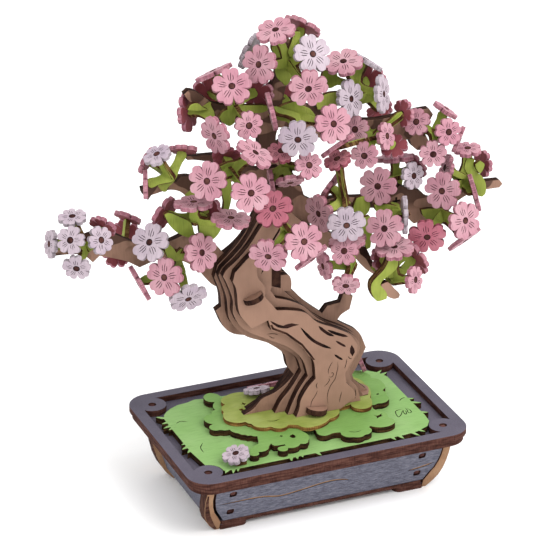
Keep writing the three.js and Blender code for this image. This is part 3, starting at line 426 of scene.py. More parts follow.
def add_plate(
    bm, outlines, place, thickness, grooves=(), groove_depth=GROOVE, groove_floor=BURN_SLOT, chamfer=CHAMFER
):
    """Adds a closed plate. place(point, depth) puts a 2-D point at a depth behind the printed face."""

    def ring(loop, depth):
        return [bm.verts.new(place(point, depth)) for point in loop]

    def wall(a, b, slot):
        for i in range(len(a)):
            j = (i + 1) % len(a)
            bm.faces.new((a[i], a[j], b[j], b[i])).material_index = slot

    def cap(loops, rings, slot):
        verts = [vert for ring_verts in rings for vert in ring_verts]
        for triangle in tessellate_polygon([[point.to_3d() for point in loop] for loop in loops]):
            corners = [verts[i] for i in triangle]
            if len(set(corners)) == 3 and not bm.faces.get(corners):
                bm.faces.new(corners).material_index = slot

    insets, faces, backs = [], [], []
    for loop in outlines:
        inner = inset(loop, chamfer)
        face, top = ring(inner, 0), ring(loop, chamfer)
        foot, back = ring(loop, thickness - chamfer), ring(inner, thickness)
        wall(face, top, PRINT_SLOT)
        wall(top, foot, EDGE_SLOT)
        wall(foot, back, EDGE_SLOT)
        insets.append(inner)
        faces.append(face)
        backs.append(back)
    cap(insets, backs, BACK_SLOT)
    for loop in grooves:
        lip, floor = ring(loop, 0), ring(loop, groove_depth)
        wall(lip, floor, BURN_SLOT)
        cap([loop], [floor], groove_floor)
        faces.append(lip)
    cap(insets + list(grooves), faces, PRINT_SLOT)


SHARP_ANGLE, BLOCK_SHARP_ANGLE = 32, 40  # an edge that turns more than this is a sharp one


def finished_mesh(bm, name, sharp_angle=SHARP_ANGLE):
    """The mesh, facing outwards, with smooth curves and sharp edges."""
    bmesh.ops.recalc_face_normals(bm, faces=bm.faces)
    mesh = bpy.data.meshes.new(name)
    bm.to_mesh(mesh)
    bm.free()
    mesh.polygons.foreach_set("use_smooth", [True] * len(mesh.polygons))
    mesh.set_sharp_from_angle(angle=math.radians(sharp_angle))
    return mesh


def plate_mesh(name, outlines, place, thickness, grooves=(), **settings):
    """One closed plate as a mesh."""
    bm = bmesh.new()
    add_plate(bm, outlines, place, thickness, grooves, **settings)
    return finished_mesh(bm, name)


def add_object(name, data):
    """A new object with that mesh, light or camera, in the scene."""
    thing = bpy.data.objects.new(name, data)
    bpy.context.scene.collection.objects.link(thing)
    return thing


def put(name, mesh, materials, nodes):
    """Puts a finished mesh in the scene, riding on the one body and standing for its solids, if any."""
    for material in materials:
        mesh.materials.append(material)
    piece = add_object(name, mesh)
    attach(piece, "root")
    if nodes:
        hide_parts(*nodes)
    return piece


# %% [markdown]
# ## Engraved lines
#
# The laser draws lines too, by passing over the print at low power. Each is a path of a few points
# that is widest in the middle and thin at its ends, so it becomes a slim closed outline, which the
# plate then sinks as a groove. A line that would touch the plate's edge is left out, because its
# groove would cut the outline open.


# %% Lines as slim outlines
def line_outline(path, width, steps=4):
    """A path of 2-D points as a slim closed outline, pointed at both ends."""
    points = [Vector(point) for point in path]
    ends = [points[0] * 2 - points[1], *points, points[-1] * 2 - points[-2]]
    smooth = []
    for i in range(len(points) - 1):
        smooth += spline_stretch(*ends[i : i + 4], steps)
    smooth.append(points[-1])
    left, right = [], []
    taper, tip = 3.2, 0.25  # how fast the line widens, and its width at the ends as a share
    for i, point in enumerate(smooth[1:-1], 1):
        along = (smooth[i + 1] - smooth[i - 1]).normalized()
        share = i / (len(smooth) - 1)
        half = width / 2 * min(1, taper * min(share, 1 - share) + tip)
        aside = Vector((-along.y, along.x)) * half
        left.append(point + aside)
        right.append(point - aside)
    return [smooth[0], *right, smooth[-1], *reversed(left)]


def nearest(point, loop):
    """The distance from a point to an outline."""
    best = 1.0
    for a, b in zip(loop, loop[1:] + loop[:1]):
        along = b - a
        share = min(1, max(0, (point - a).dot(along) / max(along.length_squared, 1e-15)))
        best = min(best, (point - a - along * share).length)
    return best


def inside(point, loop):
    """True if a point is inside an outline."""
    crossings = 0
    for a, b in zip(loop, loop[1:] + loop[:1]):
        if (a.y > point.y) != (b.y > point.y):
            crossings += point.x < a.x + (point.y - a.y) * (b.x - a.x) / (b.y - a.y)
    return crossings % 2 == 1


FROM_EDGE, FROM_GROOVE = 0.3 * MM, 0.1 * MM  # the board that has to stay beside a groove


def that_fit(grooves, outlines):
    """The grooves that lie wholly on the plate and clear of each other."""
    kept = []
    for groove in grooves:
        on_plate = all(inside(p, outlines[0]) and nearest(p, outlines[0]) > FROM_EDGE for p in groove)
        around = [(other, FROM_GROOVE) for other in kept] + [(hole, FROM_EDGE) for hole in outlines[1:]]
        clear = all(nearest(p, loop) > gap and not inside(p, loop) for p in groove for loop, gap in around)
        if on_plate and clear:
            kept.append(groove)
        else:
            print("  left out the line at", [round(x / MM, 1) for x in groove[0] - TRAY_CENTRE.to_2d()])
    return kept


# %% [markdown]
# ## The trunk and its branches
#
# Seven layers of plywood stand one behind the other, each with its own outline, so the trunk looks
# carved in steps and the branches leave it at different depths. Each layer's outline comes from its
# solid. The bark's cracks are engraved on the layers that show them: long wedges along the bend, and
# thin flowing lines down the foot.

# %% Bark lines and cracks, as [x, height] in millimetres, on the layer that they are cut in
BARK_LINES = {
    "trunk_front": {
        1.3: [
            [[-3.2, 80], [-0.6, 76.4], [2.5, 72.8], [5.7, 70.3], [8.8, 68.4], [11.3, 67.1]],
            [[5.2, 79], [7, 76.9], [9.8, 74.4], [12.6, 72.7]],
            [[9.2, 76.4], [12.4, 74.4], [16, 72.6], [19, 71.3]],
        ],
        1.0: [[[13.2, 70.4], [15.8, 68.3], [18.1, 66.6]], [[12.6, 64], [14.8, 62], [16.7, 60.6]]],
        0.3: [
            [[12, 60.8], [10.7, 58.8], [9.9, 56.8], [10, 55]],
            [[10.2, 53.9], [11.1, 53.3], [12, 53.8], [12.3, 54.7], [11.8, 55.4], [11.2, 55]],
            [[10.1, 53.2], [10.4, 52], [9.7, 50.9], [7.9, 49.2]],
            [[14.1, 60.2], [14.4, 58], [13.8, 54.9], [13.1, 52.1], [11, 49.3], [9.9, 46.6], [9.5, 43.9],
             [9.9, 40.1]],
            [[4.8, 52], [4.3, 50.6], [4.8, 49]],
            [[5, 48.3], [4, 46.1], [2.2, 43.3], [1.6, 40.1]],
            [[16.4, 45.5], [15.6, 42.7], [15.3, 40.1]],
            [[18.6, 60.8], [18.2, 58.4], [17.5, 56]],
            [[19, 62], [20, 60.6], [21, 60.3]],
        ],
    },
    "trunk_second": {
        0.9: [[[-14, 118], [-16.8, 112], [-19.8, 106.4]], [[-9, 129.6], [-12.4, 124], [-15.6, 119.4]]],
        0.3: [
            [[24.4, 64], [22.6, 60.6], [22.2, 57.6]], [[24, 43.8], [24.6, 41], [24.2, 38.4]],
            [[-17.4, 77.8], [-14, 77.4], [-11.8, 76.4]], [[-16.4, 77], [-14.8, 75.6], [-13.4, 75.2]],
        ],
    },
}
CRACKS = {
    "trunk_front": [
        [[-17.2, 85.7], [-15.9, 85], [-13.4, 83.3], [-11.1, 82.2], [-9.9, 82.6], [-7.3, 82.7], [-3.8, 81.3],
         [-6.6, 81.1], [-9.2, 80.6], [-11.1, 81], [-13.6, 81.9], [-16.1, 84.1]],
        [[20.8, 67], [22, 64.8], [22.3, 63.2], [21.2, 61.4], [20, 63.4], [20, 65.6]],
    ],
}
CROSS_MARKS = {"trunk_fifth": [[-84, 127.4]], "trunk_third": [[44, 127.6]]}


def side_point(x, z):
    """A place on an upright plate, in millimetres from the tray's centre, as its outline's 2-D point."""
    return Vector((TRAY_CENTRE.x + x * MM, z * MM))


def upright(start):
    """Places a plate's points standing up, with the printed face to the front at that y."""
    return lambda point, depth: Vector((point.x, start + depth, point.y))


def drawn(outline, rounding):
    """An outline of [x, height] points as a rounded one that runs anticlockwise."""
    loop = rounded([side_point(*point) for point in outline], *rounding)
    return loop if area(loop) > 0 else loop[::-1]


def cross_mark(x, z, size=1.8, arm=0.5):
    """A small cross-shaped slot where a sprig could be plugged in."""
    quarter = [(size, -arm), (size, arm), (arm, arm)]
    turned = []
    for _ in range(4):
        turned += quarter
        quarter = [(-b, a) for a, b in quarter]
    return [side_point(x + a, z + b) for a, b in turned]


# %% Building the layers
LAYERS = [
    "trunk_front", "trunk_second", "trunk_third", "trunk_middle", "trunk_fifth", "trunk_sixth",
    "trunk_back", "twig_left",
]
PLAIN_LAYERS = ("trunk_front", "trunk_second")
BARK_FINISH = [BARK_PLAIN, TRUNK_EDGE_AND_SHADE, BURN, TAN_BIRCH]
LAYER_ROUNDING = (4, 31)  # points on each stretch, and the turn in degrees that stays sharp
ROUNDING = (3, 60)  # the same for smaller plates
for layer in LAYERS:
    low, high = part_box(layer)
    outlines = [rounded(loop, *LAYER_ROUNDING) for loop in face_outlines(layer, 1, -1)]
    grooves = []
    for width, paths in BARK_LINES.get(layer, {}).items():
        grooves += [line_outline([side_point(*point) for point in path], width * MM) for path in paths]
    grooves += [cross_mark(*mark) for mark in CROSS_MARKS.get(layer, [])]
    grooves += [[side_point(*point) for point in crack] for crack in CRACKS.get(layer, [])]
    mesh = plate_mesh(
        layer + "_plate", outlines, upright(low.y), high.y - low.y, that_fit(grooves, outlines)
    )
    face = BARK_PLAIN if layer in PLAIN_LAYERS else BARK_PRINT
    put(layer + "_plate", mesh, [face, *BARK_FINISH[1:]], [layer])
    print(layer, "has", len(mesh.polygons), "faces")

# %% [markdown]
# ## Small plates that the solids leave out
#
# A sawn-off branch stub of three layers looks out behind the trunk's bend, and the lowest branch on
# the right ends in a small tip. Where a plate shades the one behind it, a thin dark strip is laid as
# painted shade: beside the stub, under the low branch, and down the front layer's left edge.
# Each is one more outline with a thickness.

# %% Branch stub, branch tip and strips of painted shade, by their front y and outline as [x, height]
STUB = [[-9.3, 95], [-4.4, 94], [-4.3, 99], [-5.6, 101.8], [-9.3, 102.3]]
SMALL_PLATES = {  # with their thickness after the front
    "branch_stub_front": (-3.9, 3.3, STUB),
    "branch_stub_middle": (-0.3, 3.3, STUB),
    "branch_stub_back": (3.3, 3, STUB),
    "branch_tip": (-30.4, 3, [
        [25.4, 103.2], [28.4, 103.8], [31.9, 99.9], [34.2, 97], [33.7, 95.5], [31.5, 95.4], [28.5, 97.1],
        [26.3, 99.5],
    ]),
}
SHADE_STRIPS = {
    "branch_stub_side": (-8, [[-14.9, 100], [-10.9, 98.4], [-10.9, 107.3], [-14.9, 108.2]]),
    "low_branch_side": (-8, [
        [25, 111.3], [25.8, 107.7], [28.5, 105], [30.8, 100.6], [33, 97.2], [34.9, 98.3], [33.2, 100.4],
        [31.5, 103.5], [30, 107], [28.2, 110.8],
    ]),
    "front_layer_side": (-11.3, [
        [-17.2, 83.6], [-16.2, 81.4], [-9.9, 77.8], [-2.9, 71.3], [0.6, 66.3], [2.8, 63.2], [3.8, 63.1],
        [1.5, 66.7], [-2.2, 72], [-9.3, 78.6], [-15.4, 82.1], [-16.2, 83.8],
    ]),
}
STRIP_THICKNESS = 0.4 * MM
for name, (front, thickness, outline) in SMALL_PLATES.items():
    mesh = plate_mesh(name, [drawn(outline, ROUNDING)], upright(at(0, front, 0).y), thickness * MM)
    put(name, mesh, BARK_FINISH, [])
# Each strip is a dark sheet of painted shade, in the trunk edge's colours
for name, (front, outline) in SHADE_STRIPS.items():
    loop = [side_point(*point) for point in outline]
    mesh = plate_mesh(name, [loop], upright(at(0, front, 0).y), STRIP_THICKNESS)
    put(name, mesh, [TRUNK_EDGE_AND_SHADE, TRUNK_EDGE_AND_SHADE, BURN, TRUNK_EDGE_AND_SHADE], [])
print("small plates:", len(SMALL_PLATES), "and strips:", len(SHADE_STRIPS))

# %% [markdown]
# ## Pieces that keep their solid's own faces
#
# The tray's legs, feet and ends are small blocks with straight faces. Their solids have the right
# form already, and lack only an edge that light can catch. So a copy of the solid is merged, its flat
# faces are joined up, and every edge gets a small bevel. Which face is burnt edge and which is board
# follows from the way it faces.


# %% A copy of a solid with softened edges
BEVEL = 0.15 * MM
FLAT, EDGE_ANGLE = math.radians(2), math.radians(28)  # faces that are joined, edges that are bevelled
SQUARE_ON = 0.7  # how squarely a face looks along an axis to count as printed board


def softened(node):
    """A closed copy of a solid with joined faces and bevelled edges, as a bmesh."""
    bm = bmesh.new()
    bm.from_mesh(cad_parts[node].data)
    bmesh.ops.remove_doubles(bm, verts=bm.verts, dist=SNAP)
    bmesh.ops.dissolve_limit(
        bm, angle_limit=FLAT, use_dissolve_boundaries=False, verts=bm.verts, edges=bm.edges
    )
    edges = [edge for edge in bm.edges if edge.calc_face_angle(0) > EDGE_ANGLE]
    bmesh.ops.bevel(
        bm, geom=edges, offset=BEVEL, segments=2, profile=0.6, affect="EDGES", clamp_overlap=True
    )
    bm.normal_update()
    return bm


def soft_piece(node, name, materials, which):
    """A softened copy as a piece. which(normal) gives the material's number for a face."""
    bm = softened(node)
    for face in bm.faces:
        face.material_index = which(face.normal)
    return put(name, finished_mesh(bm, name, BLOCK_SHARP_ANGLE), materials, [node])


def top_is_printed(normal):
    """A material's number for a face: the first where it looks up, or the second."""
    return 0 if normal.z > SQUARE_ON else 1


# %% [markdown]
# ## The tray
#
# The tray is a boat of plates: a rim with a broad opening on a closed floor plate, two long panels
# that lean outwards, two short end panels, four hull-shaped legs, and a base on four flat feet. The
# rim has a round boss in each corner, with a peg sunk in its hole. Rim and floor follow a rule, so
# they are drawn from it again with finer arcs, while the panels take their outlines from the solids.


# %% Rim and floor
def arc(centre, radius, start, end, steps):
    """Points along an arc, from one angle to another in degrees."""
    angles = [math.radians(start + (end - start) * i / steps) for i in range(steps + 1)]
    return [Vector((centre[0] + radius * math.cos(a), centre[1] + radius * math.sin(a))) for a in angles]


def rounded_rectangle(length, width, radius, steps=8):
    """An anticlockwise rounded rectangle about the tray's centre."""
    x, y = length / 2 - radius, width / 2 - radius
    loop = []
    for centre, start in (((x, -y), -90), ((x, y), 0), ((-x, y), 90), ((-x, -y), 180)):
        loop += arc(centre, radius, start, start + 90, steps)
    return loop


def in_frame(loop):
    """An outline in millimetres about the tray's centre as one in the frame."""
    return [TRAY_CENTRE.to_2d() + point * MM for point in loop]


def lying(top):
    """Places a plate's points lying flat, with the printed face up at that height."""
    return lambda point, depth: Vector((point.x, point.y, top - depth))


RIM_SIZE = [(high - low) / MM for low, high in zip(*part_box("tray_rim"))]
FLOOR_SIZE = [(high - low) / MM for low, high in zip(*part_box("tray_floor"))]
RIM_CORNER, RIM_BORDER, FLOOR_SETBACK = 10, 5, 1.2
BOSS_PLACE, BOSS_RADIUS, PEG_HOLE = (54.5, 33.2), 6.2, 1.75
half_length, half_width = RIM_SIZE[0] / 2 - RIM_BORDER, RIM_SIZE[1] / 2 - RIM_BORDER
to_end, to_side = half_length - BOSS_PLACE[0], half_width - BOSS_PLACE[1]
first_angle = -math.degrees(math.acos(to_end / BOSS_RADIUS))
last_angle = 180 - math.degrees(math.asin(to_side / BOSS_RADIUS)) - 360
boss_arc = arc(BOSS_PLACE, BOSS_RADIUS, first_angle, last_angle, 16)
opening = [*boss_arc]
opening += [Vector((-p.x, p.y)) for p in reversed(boss_arc)]
opening += [-p for p in boss_arc]
opening += [Vector((p.x, -p.y)) for p in reversed(boss_arc)]
CORNERS = [(1, -1), (1, 1), (-1, 1), (-1, -1)]
BOSSES = [(x * BOSS_PLACE[0], y * BOSS_PLACE[1]) for x, y in CORNERS]
holes = [arc(boss, PEG_HOLE, 360, 0, 14)[:-1] for boss in BOSSES]

outer = rounded_rectangle(RIM_SIZE[0], RIM_SIZE[1], RIM_CORNER)
rim_outlines = [in_frame(loop) for loop in (outer, opening[::-1], *holes)]
rim_mesh = plate_mesh("rim", rim_outlines, lying(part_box("tray_rim")[1].z), RIM_SIZE[2] * MM)
TRAY_FINISH = [GREY_PRINT, TRAY_EDGE, BURN, TAN_BIRCH]
put("rim", rim_mesh, TRAY_FINISH, ["tray_rim"])
floor_loop = rounded_rectangle(FLOOR_SIZE[0], FLOOR_SIZE[1], RIM_CORNER - FLOOR_SETBACK)
floor_mesh = plate_mesh(
    "tray_bottom", [in_frame(floor_loop)], lying(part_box("tray_floor")[1].z), FLOOR_SIZE[2] * MM
)
put("tray_bottom", floor_mesh, TRAY_FINISH, ["tray_floor"])
print("rim", [round(x, 1) for x in RIM_SIZE], "mm, with", len(rim_mesh.polygons), "faces")

# %% Long panels, with an engraved waterline
WATERLINE = [
    [[-50.5, 15], [-42.5, 15], [-33.5, 15], [-28.5, 14.5], [-21.5, 13], [-12.5, 14], [1, 16], [8.5, 15],
     [10.5, 14]],
    [[38.5, 12], [45, 13], [51, 14.4]],
]
PANEL_THICKNESS, WATERLINE_WIDTH = 2.9 * MM, 0.9 * MM
LEANING = 0.85  # the least that a leaning panel's outer face looks along y


def leaning(node, side):
    """Places a plate's points on the sloping outer face of a long panel. side is -1 for the front."""
    low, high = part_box(node)
    reach, slope_start = (high.y, low.y) if side > 0 else (low.y, high.y)
    foot = slope_start + side * PANEL_THICKNESS
    slope = (reach - foot) / (high.z - low.z)
    return lambda point, depth: Vector((point.x, foot + slope * (point.y - low.z) - side * depth, point.y))


PANEL_PEGS = [(-44, 20), (-43.7, 9.3), (44, 20), (43.7, 9.3)]
PEG_SLOT_SIZE, PEG_SLOT_CORNER = (3.3, 2.9), 0.8
for node, side in (("front_panel", -1), ("back_panel", 1)):
    outlines = [rounded(loop, *ROUNDING) for loop in face_outlines(node, 1, side, LEANING)]
    slot_loop = rounded_rectangle(*PEG_SLOT_SIZE, PEG_SLOT_CORNER, 3)[::-1]
    outlines += [[side_point(*place) + point * MM for point in slot_loop] for place in PANEL_PEGS]
    lines = [line_outline([side_point(side * -x, z) for x, z in path], WATERLINE_WIDTH) for path in WATERLINE]
    mesh = plate_mesh(
        node + "_plate", outlines, leaning(node, side), PANEL_THICKNESS, that_fit(lines, outlines),
        groove_floor=PEG_SLOT,
    )
    put(node + "_plate", mesh, [GREY_GRAIN, TRAY_EDGE, BURN, TAN_BIRCH, TAN_BIRCH], [node])
    print(node, "has", len(mesh.polygons), "faces")

# %% Ends, legs, base and feet
for end in ("left", "right"):
    soft_piece(
        f"{end}_panel", f"{end}_end_plate", [GREY_GRAIN, TRAY_EDGE],
        lambda normal: 0 if abs(normal.x) > 0.8 else 1,
    )
for corner in ("front_left", "front_right", "back_left", "back_right"):
    soft_piece(
        f"leg_{corner}", f"{corner}_hull_leg", [TAN_BIRCH, LEG_EDGE],
        lambda normal: 0 if abs(normal.y) > SQUARE_ON else 1,
    )
    soft_piece(
        f"foot_{corner}", f"{corner}_pad_foot", [GREY_PRINT, TRAY_EDGE], top_is_printed
    )
soft_piece("tray_base", "base_plate", [GREY_PRINT, TRAY_EDGE], top_is_printed)

# %% A scorched rib on the outer half of the front left leg
RIB_HULL = [
    (-56.2, 22.4), (-56.4, 19.4), (-56.2, 15), (-55.5, 10.1), (-54.1, 6.1), (-52.1, 2.9), (-49.9, 0.5),
]
RIB_INNER = [(-48.9, 0.6), (-50.6, 3.9), (-53.1, 9.6), (-54.9, 16.3), (-55.7, 22.4)]


def on_front(node, gap):
    """Places a plate's points on a solid's leaning front face, that far out from it."""
    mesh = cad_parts[node].data
    face = max((polygon for polygon in mesh.polygons if polygon.normal.y < -LEANING), key=lambda f: f.area)
    n, c = face.normal, face.center
    return lambda p, depth: Vector(
        (p.x, c.y - (n.x * (p.x - c.x) + n.z * (p.y - c.z)) / n.y - gap + depth, p.y)
    )


RIB_PROUD, RIB_THICKNESS, RIB_CHAMFER = 0.25 * MM, 0.5 * MM, 0.05 * MM
rib_loop = [side_point(*point) for point in RIB_HULL + RIB_INNER]
on_leg = on_front("leg_front_left", RIB_PROUD)
rib_mesh = plate_mesh("front_left_rib", [rib_loop], on_leg, RIB_THICKNESS, chamfer=RIB_CHAMFER)
put("front_left_rib", rib_mesh, [LEG_EDGE, LEG_EDGE, BURN, LEG_EDGE], [])
print("small tray pieces made")

# %% [markdown]
# ## The mossy ground
#
# Four green plates lie on the tray's floor: a board with blades of grass along its edge, two
# cloud-shaped pads, and a yellow-green mound that the trunk stands on. The board's outline keeps its
# sharp blades, and the pads and the mound are rounded. A few engraved leaves and lines show on them.

# %% Ground plates
GROUND_LINES = {
    "moss_board": [
        [[44.8, -12.9], [42.8, -13.2], [41, -13.8], [39.9, -16.7], [39.9, -19.2], [41.1, -18.4],
         [43.2, -15.6], [44.6, -13.5]],
        [[44.6, -14.2], [43.7, -15.8], [43.8, -18.2], [44.8, -16.6], [45, -14.6]],
        [[46, -12.5], [46.1, -14.2], [45.6, -17.2], [46.7, -17.4], [47.2, -15.5], [46.6, -13]],
        [[46.3, -5.9], [48.3, -4.1], [50.2, -3.5]], [[-47, -8], [-49.6, -12], [-50, -16.6]],
        [[-46, 12], [-49, 13.6], [-51.4, 12.4]],
    ],
    "moss_pad_right": [[[12, -28], [14.6, -29.6], [17.6, -29.4]]],
    "moss_pad_left": [],
    "moss_mound": [[[-24.4, 5], [-22.6, 4.8], [-20.4, 5.2]], [[-18, -9], [-15, -10.4], [-12, -9.6]]],
}
GROUND_FINISH = {
    "moss_board": ([GRASS_PRINT, MOSS_EDGE, BURN, TAN_BIRCH], "printed_moss"),
    "moss_mound": ([MOUND_PRINT, MOUND_EDGE, BURN, TAN_BIRCH], "printed_mound"),
    "other": ([MOSS_PRINT, MOSS_EDGE, BURN, TAN_BIRCH], "printed_moss"),
}
GROUND_LINE_WIDTH, GROUND_STEPS = 0.4 * MM, 3
for node, lines in GROUND_LINES.items():
    low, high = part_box(node)
    outlines = face_outlines(node, 2, 1)
    if node != "moss_board":
        outlines = [rounded(loop, GROUND_STEPS) for loop in outlines]
    paths = [in_frame([Vector(point) for point in path]) for path in lines]
    grooves = that_fit([line_outline(path, GROUND_LINE_WIDTH) for path in paths], outlines)
    mesh = plate_mesh(node + "_plate", outlines, lying(high.z), high.z - low.z, grooves)
    materials, slot = GROUND_FINISH.get(node, GROUND_FINISH["other"])
    put(node + "_plate", mesh, materials, [node])
    print(node, "has", len(mesh.polygons), "faces")

# %% A root that spreads over the mound
TOE = [
    (24.6, -1), (26.2, -3.2), (29.6, -3.9), (32.2, -3.8), (34.4, 0.5), (34.8, 3.7), (33.2, 6.9), (31.4, 8.6),
    (25, 8),
]
TOE_THICKNESS = 0.5 * MM
toe_loop = rounded(in_frame([Vector(point) for point in TOE]), *ROUNDING)
toe_mesh = plate_mesh("root_toe", [toe_loop], lying(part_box("moss_mound")[1].z + TOE_THICKNESS), TOE_THICKNESS)
put("root_toe", toe_mesh, BARK_FINISH, [])

# %% The two ledges on the trunk's front
for ledge in ("ledge_upper", "ledge_lower"):
    soft_piece(ledge, ledge + "_plate", [BARK_PLAIN, TRUNK_EDGE_AND_SHADE], top_is_printed)
